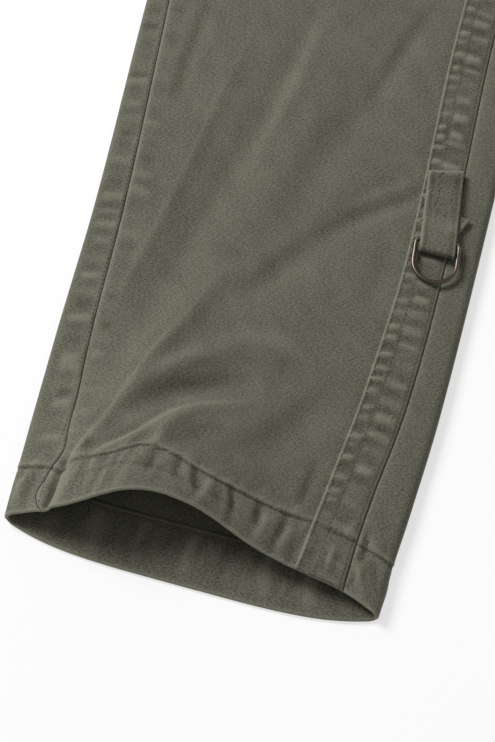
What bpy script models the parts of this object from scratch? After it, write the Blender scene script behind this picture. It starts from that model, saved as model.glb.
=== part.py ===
"""Cargo pants laid flat on their back, front up, waist towards +Y.

The cloth is one lattice for each leg.  "Along" runs from the hem (0) up to the
waist, and "around" runs from the inner fold over the front to the outer fold
and back under the seat.  Every cloth piece is a stretch of that lattice with
some thickness, and what is sewn on a panel is the same lattice moved outwards.
All sizes below are in millimetres.
"""

import math
from collections import namedtuple

import bmesh
import bpy
from mathutils import Matrix, Vector

MM = 0.001

# Cloth and seams
WALL = 1.2
GAP = 0.3
FOLD_RADIUS = 4.2
QUARTER = FOLD_RADIUS * math.pi / 2.0

# Lengths along the leg
HEM_DEPTH = 31.0
CROTCH = 755.0
CROTCH_EASE = 8.0
WAIST_SEAM = 1017.0
WAIST_TOP = 1057.0

# Height of the front above its side folds, and the reach of its blends: where the
# hips' shape takes over from the leg's, where folds begin beside the inner fold,
# and where the seat's columns spread out
FRONT_CAMBER = 4.0
HIP_BLEND = 80.0
FOLD_MARGIN = 20.0
SEAT_SPREAD = 150.0
FOLD_STEPS = 10
NEAR = 0.6

# Each row is a line across one leg, from its inner fold to its outer fold.
# Above the crotch the inner end is the centre seam.
Station = namedtuple("Station", "along inner_x inner_y outer_x outer_y seam_in seam_out tape lift dip")
STATIONS = (
    Station(0.0, 128.2, -516.2, 345.8, -498.8, 23.5, 25.2, 28.5, 0.0, 0.0),
    Station(30.0, 123.2, -486.6, 343.9, -468.0, 24.2, 25.2, 26.7, 0.0, 0.0),
    Station(60.0, 118.4, -458.6, 343.2, -437.0, 26.9, 25.2, 26.0, 0.0, 0.0),
    Station(125.0, 107.8, -394.9, 340.3, -370.4, 24.3, 22.3, 26.5, 0.0, 0.0),
    Station(225.0, 92.3, -297.6, 331.8, -270.2, 22.0, 21.8, 24.2, 0.0, 0.0),
    Station(390.0, 61.4, -136.1, 315.5, -104.9, 18.2, 26.6, 24.4, 0.0, 0.0),
    Station(570.0, 30.6, 41.4, 295.6, 74.0, 12.0, 24.0, 24.0, 0.0, 0.0),
    Station(755.0, 0.15, 224.1, 273.5, 257.7, 3.0, 21.0, 23.0, 0.0, 0.0),
    Station(835.0, 0.15, 301.0, 272.0, 322.0, 3.0, 21.0, 23.0, 0.0, 0.0),
    Station(915.0, 0.15, 380.0, 260.0, 392.0, 3.0, 21.0, 23.0, 0.3, 4.0),
    Station(975.0, 0.15, 440.0, 241.0, 444.0, 3.0, 21.0, 23.0, 1.2, 14.0),
    Station(1017.0, 0.15, 482.0, 226.0, 482.0, 3.0, 21.0, 23.0, 1.5, 20.0),
    Station(1057.0, 0.15, 522.0, 217.0, 522.0, 3.0, 21.0, 23.0, 1.5, 20.0),
)

# Rows of the lattice: close at the hem mouth and the crotch, wide elsewhere
ROWS = (
    0.0, 10.0, 20.0, 31.0, 45.0, 60.0, 80.0, 100.0, 125.0, 155.0, 190.0, 235.0, 290.0, 350.0,
    410.0, 470.0, 530.0, 590.0, 650.0, 705.0, 755.0, 763.0, 800.0, 860.0, 930.0, 985.0, 1017.0,
)
FRONT_CELLS = 11
TAPE_CELLS = 2
BACK_CELLS = 6
INNER_CELLS = 5

# The front hem of each leg: how far it stands up and is pushed up the leg,
# from the inner fold (0) to the outer fold (1) of the hem's width
Mouth = namedtuple("Mouth", "across rise push")
LEFT_MOUTH = (
    Mouth(0.00, 0.0, 0.0),
    Mouth(0.06, 5.0, 3.0),
    Mouth(0.13, 13.0, 6.0),
    Mouth(0.21, 23.0, 12.0),
    Mouth(0.30, 28.0, 21.0),
    Mouth(0.38, 28.0, 25.0),
    Mouth(0.48, 23.0, 24.5),
    Mouth(0.55, 18.0, 21.5),
    Mouth(0.65, 10.0, 15.5),
    Mouth(0.77, 4.0, 11.5),
    Mouth(0.90, 1.0, 7.5),
    Mouth(1.00, 0.0, 0.0),
)
RIGHT_MOUTH = (
    Mouth(0.00, 0.0, 0.0),
    Mouth(0.07, 4.5, 3.0),
    Mouth(0.15, 12.0, 6.5),
    Mouth(0.24, 21.0, 12.0),
    Mouth(0.34, 26.0, 19.0),
    Mouth(0.44, 26.0, 22.0),
    Mouth(0.54, 21.0, 21.0),
    Mouth(0.64, 14.0, 17.0),
    Mouth(0.76, 6.4, 12.6),
    Mouth(0.89, 1.9, 7.6),
    Mouth(1.00, 0.0, 0.0),
)
MOUTH_FADE = ((0.0, 1.0), (25.0, 0.86), (60.0, 0.62), (100.0, 0.34), (150.0, 0.12), (210.0, 0.0))
BACK_BULGE = 10.6
BULGE_FADE = 70.0

# The largest folds of each front, from a start through a middle to an end.
# "in" is the distance from the inner fold and "up" the distance along the leg.
Fold = namedtuple("Fold", "start_in start_up middle_in middle_up end_in end_up height width")
LEFT_FOLDS = (
    Fold(34.0, 30.0, 60.0, 106.0, 92.0, 190.0, 4.0, 9.0),
    Fold(96.0, 200.0, 118.0, 282.0, 140.0, 380.0, 2.2, 17.0),
    Fold(29.0, 140.0, 48.0, 240.0, 72.0, 370.0, 1.8, 8.0),
    Fold(36.0, 88.0, 69.0, 215.0, 120.0, 415.0, -2.2, 10.0),
    Fold(112.0, 215.0, 145.0, 305.0, 190.0, 420.0, -1.8, 13.0),
    Fold(200.0, 277.0, 163.0, 247.0, 104.0, 166.0, -2.2, 9.0),
    Fold(60.0, 84.0, 96.0, 122.0, 140.0, 126.0, 3.0, 8.5),
    Fold(62.0, 60.0, 92.0, 90.0, 128.0, 108.0, -3.2, 9.5),
    Fold(120.0, 430.0, 150.0, 560.0, 120.0, 700.0, 2.5, 18.0),
)
RIGHT_FOLDS = (
    Fold(60.0, 20.0, 74.0, 120.0, 100.0, 260.0, 3.0, 14.0),
    Fold(150.0, 60.0, 128.0, 170.0, 96.0, 330.0, -3.0, 18.0),
    Fold(72.0, 336.0, 122.0, 398.0, 186.0, 432.0, 3.2, 16.0),
    Fold(90.0, 470.0, 120.0, 580.0, 170.0, 690.0, 2.5, 20.0),
)

Leg = namedtuple("Leg", "name side mouth folds")
LEGS = (
    Leg("left", 1.0, LEFT_MOUTH, LEFT_FOLDS),
    Leg("right", -1.0, RIGHT_MOUTH, RIGHT_FOLDS),
)

# Tape down the outseam, tab and ring
TAPE_TOP = 470.0
TAB_LOW = 228.0
TAB_TOP = 293.0
TAB_WIDTH = 22.0
TAB_INSET = 1.0
TAB_SKEW = 5.0
WIRE = 2.6
RING_BAR_UP = 238.0
RING_LENGTH = 28.5
RING_HALF_BAR = 10.3
RING_CORNER = 3.0
RING_BOW = RING_HALF_BAR + RING_CORNER
TAB_UNDER_STOPS = (TAB_TOP, 262.0, 246.0)
TAB_BEND_CELLS = 6
TAB_OVER_RISE = 4.0
TAB_OVER_STOPS = (258.0, 275.0, TAB_TOP)

# Pieces that the waist and the thighs carry
POCKET_LOW = 470.0
POCKET_TOP = 650.0
POCKET_WIDTH = 140.0
POCKET_CELLS = 6
POCKET_PUFF = 1.6
POCKET_PUFF_START = 30.0
FLAP_LOW = 620.0
FLAP_STEPS = (642.0, 651.0, 662.0)
FLAP_TOP = 705.0
FLAP_EASE = 10.0
FLAP_BUTTON_UP = 638.0
FLY_LOW = 850.0
FLY_WIDTH = 38.0
FLY_END_SHARE = 0.55
FLY_STEPS = (0.0, 12.0, 28.0)
FLY_STRAIGHT = 50.0
LOOP_UNDERLAP = 6.0
WELT_WIDTH = 12.0
WELT_LOW = 868.0
WELT_HIGH = 1008.0
WELT_LOW_IN = 16.0
WELT_HIGH_IN = 62.0
LOOP_WIDTH = 10.0
LOOP_SPREAD = 95.0
BUTTON_RADIUS = 8.0
BUTTON_HEIGHT = 2.6
LAP = 24.0

CLOTH_COLOUR = (0.135, 0.132, 0.098)
METAL_COLOUR = (0.30, 0.26, 0.22)
BUTTON_COLOUR = (0.06, 0.06, 0.045)


def clamp(value, low=0.0, high=1.0):
    return max(low, min(high, value))


def lerp(start, end, share):
    return start + (end - start) * share


def ease(value):
    share = clamp(value)
    return share * share * (3.0 - 2.0 * share)


def curve_through(xs, ys, at):
    """Value at a place on the smooth curve through the given points."""
    last = len(xs) - 1
    if at <= xs[0]:
        return ys[0] + (at - xs[0]) * (ys[1] - ys[0]) / (xs[1] - xs[0])
    if at >= xs[last]:
        return ys[last] + (at - xs[last]) * (ys[last] - ys[last - 1]) / (xs[last] - xs[last - 1])
    step = max(i for i in range(last) if xs[i] <= at)
    span = xs[step + 1] - xs[step]
    share = (at - xs[step]) / span
    before = max(step - 1, 0)
    after = min(step + 2, last)
    slope_in = (ys[step + 1] - ys[before]) / (xs[step + 1] - xs[before]) * span
    slope_out = (ys[after] - ys[step]) / (xs[after] - xs[step]) * span
    cube = share ** 3
    square = share ** 2
    return ((2.0 * cube - 3.0 * square + 1.0) * ys[step]
            + (cube - 2.0 * square + share) * slope_in
            + (3.0 * square - 2.0 * cube) * ys[step + 1]
            + (cube - square) * slope_out)


STATION_COLUMNS = tuple(zip(*STATIONS))


def station_at(along):
    """The line across the leg at a distance from the hem."""
    columns = [curve_through(STATION_COLUMNS[0], column, along) for column in STATION_COLUMNS[1:]]
    row = Station(along, *columns)
    return row._replace(inner_x=max(row.inner_x, GAP / 2.0), lift=max(row.lift, 0.0))


def line_across(row):
    """Inner end, direction and length of a row's line, with the direction up the leg."""
    inner = Vector((row.inner_x, row.inner_y))
    outer = Vector((row.outer_x, row.outer_y))
    width = (outer - inner).length
    across = (outer - inner) / width
    up = Vector((-across.y, across.x))
    return inner, across, up, width


def half_round(row):
    """Cloth length from the inner fold's edge over the front to the outer fold's edge."""
    return line_across(row)[3] - 2.0 * FOLD_RADIUS + 2.0 * QUARTER


def inner_fold_share(along):
    """1 in the leg, where the inner edge is a fold, and 0 above the crotch."""
    return clamp((CROTCH + CROTCH_EASE - along) / CROTCH_EASE)


def section_point(width, half, around, folded):
    """Distance across, height from mid-thickness, and front (1) or back (-1)."""
    radius = FOLD_RADIUS
    if folded > 0.5:
        around %= 2.0 * half
    around = clamp(around, 0.0, 2.0 * half)
    side = 1.0 if around <= half else -1.0
    run = min(around, 2.0 * half - around)
    if run < QUARTER:
        turn = run / radius
        across = lerp(run * radius / QUARTER, radius * (1.0 - math.cos(turn)), folded)
        height = lerp(radius, radius * math.sin(turn), folded)
    elif run < half - QUARTER:
        across = radius + run - QUARTER
        height = radius
    else:
        turn = (half - run) / radius
        across = width - radius * (1.0 - math.cos(turn))
        height = radius * math.sin(turn)
    return across, height, side


def fold_route(fold, share):
    """Point on the fold's line through its three given points."""
    first = 2.0 * (share - 0.5) * (share - 1.0)
    middle = 4.0 * share * (1.0 - share)
    last = 2.0 * share * (share - 0.5)
    place_in = first * fold.start_in + middle * fold.middle_in + last * fold.end_in
    place_up = first * fold.start_up + middle * fold.middle_up + last * fold.end_up
    return place_in, place_up


def fold_rise(folds, across, along):
    """Height that the folds add to the front at one place."""
    total = 0.0
    for fold in folds:
        nearest = None
        for step in range(FOLD_STEPS):
            start = Vector(fold_route(fold, step / FOLD_STEPS))
            reach = Vector(fold_route(fold, (step + 1) / FOLD_STEPS)) - start
            offset = Vector((across, along)) - start
            share = clamp(offset.dot(reach) / reach.length_squared)
            distance = (offset - reach * share).length
            if nearest is None or distance < nearest[0]:
                nearest = (distance, (step + share) / FOLD_STEPS)
        fade = math.sin(math.pi * nearest[1]) ** 0.6
        total += fold.height * fade * math.exp(-(nearest[0] / fold.width) ** 2)
    return total


def front_rise(leg, across_share, across, along):
    """Height of the front above its side folds."""
    hips = ease((along - CROTCH) / HIP_BLEND)
    leg_bell = math.sin(math.pi * clamp(across_share)) ** 0.7
    hip_bell = math.cos(0.5 * math.pi * clamp(across_share)) ** 0.5
    rise = FRONT_CAMBER * lerp(leg_bell, hip_bell, hips)
    edge = clamp(across / FOLD_MARGIN) * (1.0 - hips)
    return rise + fold_rise(leg.folds, across, along) * edge + mouth_value(leg, across_share, along, 1)


def mouth_value(leg, across_share, along, column):
    """Rise (1) or push (2) of the front near the hem mouth."""
    if along >= MOUTH_FADE[-1][0]:
        return 0.0
    table = tuple(zip(*leg.mouth))
    fade = curve_through(*zip(*MOUTH_FADE), along)
    return curve_through(table[0], table[column], clamp(across_share)) * fade


def cloth_point(leg, around, along):
    """Point of the outer skin."""
    row = station_at(along)
    inner, across_way, up_way, width = line_across(row)
    across, height, side = section_point(width, half_round(row), around, inner_fold_share(along))
    share = across / width
    lean = height / FOLD_RADIUS
    level = row.lift + FOLD_RADIUS + side * height
    shift = 0.0
    if side > 0.0:
        level += front_rise(leg, share, across, along) * lean
        shift = mouth_value(leg, share, along, 2) * lean - row.dip * (1.0 - share ** 2)
    elif along < BULGE_FADE:
        bulge = BACK_BULGE * (1.0 - (2.0 * share - 1.0) ** 4)
        shift = -bulge * (1.0 - ease(along / BULGE_FADE)) * lean
    place = inner + across_way * across + up_way * shift
    return Vector((place.x * leg.side, place.y, level)) * MM


def cloth_normal(leg, around, along):
    """Outward direction of the cloth's skin."""
    low = around - NEAR
    high = around + NEAR
    if inner_fold_share(along) < 1.0:
        half = half_round(station_at(along))
        low = max(low, 0.0)
        high = min(high, 2.0 * half)
    sideways = cloth_point(leg, high, along) - cloth_point(leg, low, along)
    upwards = cloth_point(leg, around, along + NEAR) - cloth_point(leg, around, along - NEAR)
    return sideways.cross(upwards).normalized() * leg.side


def skin(leg, around, along, out):
    """Point at a distance outside the cloth's skin."""
    return cloth_point(leg, around, along) + cloth_normal(leg, around, along) * out * MM


def front_stops(row):
    """Places across the front, from the inseam to the outseam."""
    start = row.seam_in * inner_fold_share(row.along) + GAP / 2.0
    outseam = half_round(row) - row.seam_out - GAP / 2.0
    tape_edge = outseam - row.tape
    stops = [lerp(start, tape_edge, cell / FRONT_CELLS) for cell in range(FRONT_CELLS)]
    stops += [lerp(tape_edge, outseam, cell / TAPE_CELLS) for cell in range(TAPE_CELLS + 1)]
    return stops


def back_stops(row):
    """Places from the outseam around the outer fold, the back and the inner fold."""
    half = half_round(row)
    folded = inner_fold_share(row.along)
    end = 2.0 * half + row.seam_in * folded - GAP / 2.0 * folded
    stops = [half - row.seam_out + GAP / 2.0]
    stops += [half + QUARTER * turn for turn in (-1.0, -0.5, 0.0, 0.5, 1.0)]
    flat_end = 2.0 * half - QUARTER
    stops += [lerp(half + QUARTER, flat_end, cell / BACK_CELLS) for cell in range(1, BACK_CELLS + 1)]
    leg_ends = [flat_end + QUARTER / 2.0, 2.0 * half]
    leg_ends += [lerp(2.0 * half, end, share) for share in (0.15, 0.4, 1.0)]
    for cell, leg_end in enumerate(leg_ends, 1):
        hip_end = lerp(flat_end, end, cell / INNER_CELLS)
        stops.append(lerp(hip_end, leg_end, folded))
    spread = ease((row.along - CROTCH) / SEAT_SPREAD)
    first = 5
    count = BACK_CELLS + INNER_CELLS
    for cell in range(count + 1):
        even = lerp(half + QUARTER, end, cell / count)
        stops[first + cell] = lerp(stops[first + cell], even, spread)
    return stops


def cloth_material(name, colour, roughness, metallic):
    material = bpy.data.materials.new(name)
    material.use_nodes = True
    surface = material.node_tree.nodes["Principled BSDF"]
    surface.inputs["Base Color"].default_value = (*colour, 1.0)
    surface.inputs["Roughness"].default_value = roughness
    surface.inputs["Metallic"].default_value = metallic
    return material


def add_object(name, mesh_maker, material):
    """Object made from a finished bmesh, with its faces turned outwards."""
    bmesh.ops.recalc_face_normals(mesh_maker, faces=mesh_maker.faces)
    if mesh_maker.calc_volume(signed=True) < 0.0:
        bmesh.ops.reverse_faces(mesh_maker, faces=mesh_maker.faces)
    mesh = bpy.data.meshes.new(name)
    mesh_maker.to_mesh(mesh)
    mesh_maker.free()
    mesh.materials.append(material)
    made = bpy.data.objects.new(name, mesh)
    bpy.context.scene.collection.objects.link(made)
    return made


def add_cloth(name, place, cells_across, cells_along, inside, outside, material):
    """Cloth solid on a grid: place(column, row, out) gives each point."""
    maker = bmesh.new()
    bmesh.ops.create_grid(maker, x_segments=cells_across, y_segments=cells_along, size=1.0)
    bmesh.ops.triangulate(maker, faces=maker.faces, quad_method="ALTERNATE")
    extruded = bmesh.ops.extrude_face_region(maker, geom=maker.faces[:], use_keep_orig=True)
    inner = {item for item in extruded["geom"] if isinstance(item, bmesh.types.BMVert)}
    for vert in maker.verts:
        column = round((vert.co.x + 1.0) / 2.0 * cells_across)
        row = round((vert.co.y + 1.0) / 2.0 * cells_along)
        vert.co = place(column, row, inside if vert in inner else outside)
    return add_object(name, maker, material)


def lattice_piece(name, leg, stops, rows, columns, inside, outside, material):
    """Cloth solid from part of a leg's lattice; inside and outside may be functions."""
    places = [stops(station_at(along)) for along in rows]

    def place(column, row, out):
        along = rows[row]
        around = places[row][columns[column]]
        return skin(leg, around, along, out(column, row) if callable(out) else out)

    return add_cloth(name, place, len(columns) - 1, len(rows) - 1, inside, outside, material)


def rows_between(low, high):
    return [along for along in ROWS if low <= along <= high]


def add_panels(leg, material):
    """Front and back of one leg, each with its half of the seat."""
    fronts = list(range(FRONT_CELLS + TAPE_CELLS + 1))
    backs = list(range(BACK_CELLS + INNER_CELLS + 6))
    lattice_piece("front_" + leg.name, leg, front_stops, ROWS, fronts, -WALL, 0.0, material)
    lattice_piece("back_" + leg.name, leg, back_stops, ROWS, backs, -WALL, 0.0, material)


def add_hem(leg, material):
    """Turned-up hem: a ring inside the leg, open by a seam's gap at the inseam."""
    def stops(row):
        return front_stops(row) + back_stops(row)[1:]

    rows = rows_between(0.0, HEM_DEPTH)
    columns = list(range(len(stops(station_at(0.0)))))
    outside = -(WALL + GAP)
    lattice_piece("hem_" + leg.name, leg, stops, rows, columns, outside - WALL, outside, material)


def add_tape(leg, material):
    """Tape sewn over the front's outer edge, from the hem to the cargo pocket."""
    columns = list(range(FRONT_CELLS, FRONT_CELLS + TAPE_CELLS + 1))
    rows = rows_between(0.0, TAPE_TOP - GAP) + [TAPE_TOP - GAP]
    lattice_piece("tape_" + leg.name, leg, front_stops, rows, columns, GAP, GAP + WALL, material)


def tab_right_edge(along):
    """Around-place of the tab's outer edge, which leans outwards at its low end."""
    row = station_at(along)
    lean = (TAB_TOP - along) / (TAB_TOP - TAB_LOW)
    return half_round(row) - row.seam_out - TAB_INSET + TAB_SKEW * lean


def tab_profile():
    """Mid-line of the folded tab as (along, out) points: under layer, bend, upper layer."""
    under = 2.0 * GAP + 1.5 * WALL
    over = under + WALL + GAP
    bend = 0.5 * WIRE + GAP + 0.5 * WALL
    centre = under + bend
    line = [(along, under) for along in TAB_UNDER_STOPS]
    bend_up = TAB_LOW + 0.5 * WALL + bend
    for step in range(TAB_BEND_CELLS + 1):
        turn = math.pi * step / TAB_BEND_CELLS
        line.append((bend_up - bend * math.sin(turn), centre - bend * math.cos(turn)))
    line.append((RING_BAR_UP + TAB_OVER_RISE, centre + bend))
    line += [(along, over) for along in TAB_OVER_STOPS]
    return line


def add_tab(leg, material):
    """Strip folded over the ring's bar and sewn down on the tape."""
    line = tab_profile()
    across_cells = 2

    def place(column, row, out):
        before = Vector(line[max(row - 1, 0)])
        after = Vector(line[min(row + 1, len(line) - 1)])
        way = (after - before).normalized()
        along, height = Vector(line[row]) + Vector((-way.y, way.x)) * out
        around = tab_right_edge(clamp(along, TAB_LOW, TAB_TOP)) - TAB_WIDTH * column / across_cells
        return skin(leg, around, along, height)

    add_cloth("tab_" + leg.name, place, across_cells, len(line) - 1, -WALL / 2.0, WALL / 2.0, material)


def ring_frame(leg):
    """Place of the ring's bar: bar along local X, bow towards local -Y, up is local Z."""
    lift = 2.0 * GAP + 2.0 * WALL + GAP + 0.5 * WIRE
    rest = WALL + 3.0 * GAP + 0.5 * WIRE
    low_up = RING_BAR_UP - RING_LENGTH
    middle = tab_right_edge(RING_BAR_UP) - TAB_WIDTH / 2.0
    low_middle = tab_right_edge(low_up) - TAB_WIDTH / 2.0
    bar = skin(leg, middle, RING_BAR_UP, lift)
    down = (skin(leg, low_middle, low_up, rest) - bar).normalized()
    up = cloth_normal(leg, middle, RING_BAR_UP)
    bar_way = (-down).cross(up).normalized()
    up = bar_way.cross(-down)
    turn = Matrix((bar_way, -down, up)).transposed()
    return Matrix.Translation(bar) @ turn.to_4x4()


def ring_outline():
    """Centre line of the wire: straight bar, round corners, long round bow."""
    corner_steps = 4
    bow_steps = 14
    line = []
    for step in range(corner_steps + 1):
        turn = 0.5 * math.pi * step / corner_steps
        line.append((RING_HALF_BAR + RING_CORNER * math.sin(turn), RING_CORNER * (math.cos(turn) - 1.0)))
    bow_top = RING_BOW - RING_LENGTH
    for step in range(bow_steps + 1):
        turn = math.pi * step / bow_steps
        line.append((RING_BOW * math.cos(turn), bow_top - RING_BOW * math.sin(turn)))
    for step in range(corner_steps, -1, -1):
        turn = 0.5 * math.pi * step / corner_steps
        line.append((-RING_HALF_BAR - RING_CORNER * math.sin(turn), RING_CORNER * (math.cos(turn) - 1.0)))
    return line


def add_ring(leg, material):
    """Metal D-ring, free to swing about its straight bar."""
    curve = bpy.data.curves.new("d_ring_" + leg.name, "CURVE")
    curve.dimensions = "3D"
    curve.bevel_depth = 0.5 * WIRE * MM
    curve.bevel_resolution = 2
    spline = curve.splines.new("POLY")
    line = ring_outline()
    spline.points.add(len(line) - 1)
    for point, (across, along) in zip(spline.points, line):
        point.co = (across * MM, along * MM, 0.0, 1.0)
    spline.use_cyclic_u = True
    curve.materials.append(material)
    ring = bpy.data.objects.new("d_ring_" + leg.name, curve)
    bpy.context.scene.collection.objects.link(ring)
    ring.matrix_world = ring_frame(leg)


def pocket_stops(row):
    """Places across the cargo pocket, from the front of the thigh to the side fold."""
    side = half_round(row) - QUARTER - 1.0
    inner = side - POCKET_WIDTH
    return [lerp(inner, side, cell / POCKET_CELLS) for cell in range(POCKET_CELLS + 1)]


def puff(column, along):
    """How far the pocket stands off the thigh at one place."""
    across = math.sin(math.pi * column / POCKET_CELLS)
    height = ease((along - POCKET_LOW) / POCKET_PUFF_START)
    return POCKET_PUFF * across * height


def add_cargo_pocket(leg, cloth, button):
    """Patch pocket on the thigh, its flap, and the flap's button."""
    columns = list(range(POCKET_CELLS + 1))
    rows = rows_between(POCKET_LOW, POCKET_TOP)

    def under(column, row):
        return GAP + puff(column, rows[row])

    def over(column, row):
        return under(column, row) + WALL

    lattice_piece("cargo_pocket_" + leg.name, leg, pocket_stops, rows, columns, under, over, cloth)
    flap_rows = [FLAP_LOW, *FLAP_STEPS, FLAP_TOP]

    def flap_under(column, row):
        on_pocket = 1.0 - ease((flap_rows[row] - POCKET_TOP - 1.0) / FLAP_EASE)
        pocket_top = GAP + WALL + POCKET_PUFF * math.sin(math.pi * column / POCKET_CELLS)
        return 2.0 * GAP + on_pocket * pocket_top

    def flap_over(column, row):
        return flap_under(column, row) + WALL

    name = "cargo_flap_" + leg.name
    lattice_piece(name, leg, pocket_stops, flap_rows, columns, flap_under, flap_over, cloth)
    around = pocket_stops(station_at(FLAP_BUTTON_UP))[POCKET_CELLS // 2]
    out = 4.0 * GAP + 2.0 * WALL + POCKET_PUFF
    add_button("flap_button_" + leg.name, leg, around, FLAP_BUTTON_UP, out, button)


def add_button(name, leg, around, along, out, material):
    """Flat round button standing on the cloth."""
    maker = bmesh.new()
    radius = BUTTON_RADIUS * MM
    height = BUTTON_HEIGHT * MM
    bmesh.ops.create_cone(maker, cap_ends=True, segments=20, radius1=radius, radius2=radius * 0.9, depth=height)
    normal = cloth_normal(leg, around, along)
    turn = normal.to_track_quat("Z", "Y").to_matrix().to_4x4()
    base = skin(leg, around, along, out)
    place = Matrix.Translation(base + normal * height / 2.0) @ turn
    add_object(name, maker, material).matrix_world = place


def add_strip(name, rows, edges, width_cells, material):
    """Strip on a panel: edges(along) gives its two long edges, each as (leg, around)."""
    def place(column, row, out):
        (leg, near), (far_leg, far) = edges(rows[row])
        if far_leg is leg:
            return skin(leg, lerp(near, far, column / width_cells), rows[row], out)
        return skin(*((leg, near), (far_leg, far))[column], rows[row], out)

    add_cloth(name, place, width_cells, len(rows) - 1, GAP, GAP + WALL, material)


def even_rows(low, high, cells):
    return [lerp(low, high, cell / cells) for cell in range(cells + 1)]


def add_fly(material):
    """Fly lap on the left front, beside the centre seam, rounded off at its low end."""
    top = WAIST_SEAM - GAP
    left = LEGS[0]

    def edges(along):
        width = lerp(FLY_END_SHARE, 1.0, ease((along - FLY_LOW) / FLY_WIDTH)) * FLY_WIDTH
        return (left, 1.0), (left, width)

    rows = [FLY_LOW + step for step in FLY_STEPS] + even_rows(FLY_LOW + FLY_STRAIGHT, top, 3)
    add_strip("fly", rows, edges, 2, material)


def add_hand_pocket(leg, material):
    """Slanted welt of a front pocket."""
    def edges(along):
        share = (along - WELT_LOW) / (WELT_HIGH - WELT_LOW)
        side = half_round(station_at(along)) - lerp(WELT_LOW_IN, WELT_HIGH_IN, share)
        return (leg, side - WELT_WIDTH), (leg, side)

    add_strip("hand_pocket_" + leg.name, even_rows(WELT_LOW, WELT_HIGH, 6), edges, 1, material)


def waistband_route(row):
    """Places round the waist as (leg, around, share of the lap), from the lap's end."""
    left, right = LEGS
    half_way = front_stops(row)[1:] + back_stops(row)[1:-1]
    route = [(right, LAP, 1.0), (right, LAP / 2.0, 1.0), (right, 2.0, 1.0), (left, 6.0, 0.9)]
    route += [(left, stop, 0.0) for stop in half_way]
    route += [(right, stop, 0.0) for stop in reversed(half_way)]
    route.append((right, 2.0, 0.0))
    return route


def add_waistband(material):
    """One band round the waist, its left end lapped over its right end."""
    rows = (WAIST_SEAM + GAP, (WAIST_SEAM + WAIST_TOP) / 2.0, WAIST_TOP)
    routes = [waistband_route(station_at(along)) for along in rows]

    def place(column, row, out):
        leg, around, lap = routes[row][column]
        return skin(leg, around, rows[row], out + lap * (WALL + GAP))

    add_cloth("waistband", place, len(routes[0]) - 1, len(rows) - 1, -WALL, 0.0, material)


def add_belt_loops(material):
    """Belt loops over the band: two in front, two behind and one at the centre back."""
    left, right = LEGS
    start = LOOP_SPREAD - LOOP_WIDTH / 2.0
    end = LOOP_SPREAD + LOOP_WIDTH / 2.0
    centre = LOOP_WIDTH / 2.0 + QUARTER - FOLD_RADIUS
    spots = (
        ("belt_loop_front_left", False, (left, start), (left, end)),
        ("belt_loop_front_right", False, (right, start), (right, end)),
        ("belt_loop_back_left", True, (left, start), (left, end)),
        ("belt_loop_back_right", True, (right, start), (right, end)),
        ("belt_loop_back_centre", True, (right, centre), (left, centre)),
    )
    rows = even_rows(WAIST_SEAM - LOOP_UNDERLAP, WAIST_TOP - 1.0, 3)
    for name, behind, near, far in spots:
        def edges(along):
            whole = 2.0 * half_round(station_at(along))
            return [(leg, whole - place if behind else place) for leg, place in (near, far)]

        add_strip(name, rows, edges, 1, material)


def add_waist_button(material):
    """Button on the band's lap."""
    out = WALL + 2.0 * GAP
    add_button("waist_button", LEGS[1], LAP / 2.0, (WAIST_SEAM + WAIST_TOP) / 2.0, out, material)


def build():
    for old in list(bpy.data.objects):
        bpy.data.objects.remove(old)
    cloth = cloth_material("cotton_cloth", CLOTH_COLOUR, 0.9, 0.0)
    metal = cloth_material("ring_metal", METAL_COLOUR, 0.35, 1.0)
    plastic = cloth_material("button_plastic", BUTTON_COLOUR, 0.5, 0.0)
    for leg in LEGS:
        add_panels(leg, cloth)
        add_hem(leg, cloth)
        add_tape(leg, cloth)
        add_tab(leg, cloth)
        add_ring(leg, metal)
        add_cargo_pocket(leg, cloth, plastic)
        add_hand_pocket(leg, cloth)
    add_fly(cloth)
    add_waistband(cloth)
    add_belt_loops(cloth)
    add_waist_button(plastic)


build()
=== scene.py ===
import math
from collections import namedtuple

import bmesh
import bpy
import numpy as np
from mathutils import Matrix, Vector


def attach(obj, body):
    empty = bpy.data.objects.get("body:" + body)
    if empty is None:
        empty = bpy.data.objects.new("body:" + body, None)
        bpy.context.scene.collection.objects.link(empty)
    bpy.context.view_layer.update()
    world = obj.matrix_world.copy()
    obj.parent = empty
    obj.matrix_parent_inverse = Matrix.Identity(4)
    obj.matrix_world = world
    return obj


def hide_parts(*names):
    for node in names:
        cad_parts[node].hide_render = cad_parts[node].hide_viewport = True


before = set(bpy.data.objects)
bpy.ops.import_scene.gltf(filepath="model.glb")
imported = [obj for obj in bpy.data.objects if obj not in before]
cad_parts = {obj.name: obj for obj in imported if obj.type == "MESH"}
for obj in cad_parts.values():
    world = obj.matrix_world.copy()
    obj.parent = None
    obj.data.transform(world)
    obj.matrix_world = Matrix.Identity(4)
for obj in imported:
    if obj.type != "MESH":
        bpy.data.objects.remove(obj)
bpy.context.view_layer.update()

# Cargo pants laid flat on their back.  Sizes are in millimetres.  "Along" runs
# from the hem up to the waist, and "around" from the inner fold over the front
# to the outer fold and back under the seat, as in the part's own source.
MM = 0.001
CLOTH = 1.0
STRIP = 0.5
GAP = 0.3
WALL = 1.2
FOLD_RADIUS = 4.2
QUARTER = FOLD_RADIUS * math.pi / 2.0
HEM_DEPTH = 31.0
HEM_ROLL = 1.15
CROTCH = 755.0
CROTCH_EASE = 8.0
WAIST_SEAM = 1017.0
WAIST_TOP = 1057.0
FRONT_CAMBER = 4.0
HIP_BLEND = 80.0
FOLD_MARGIN = 20.0
FOLD_STEPS = 10

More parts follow.
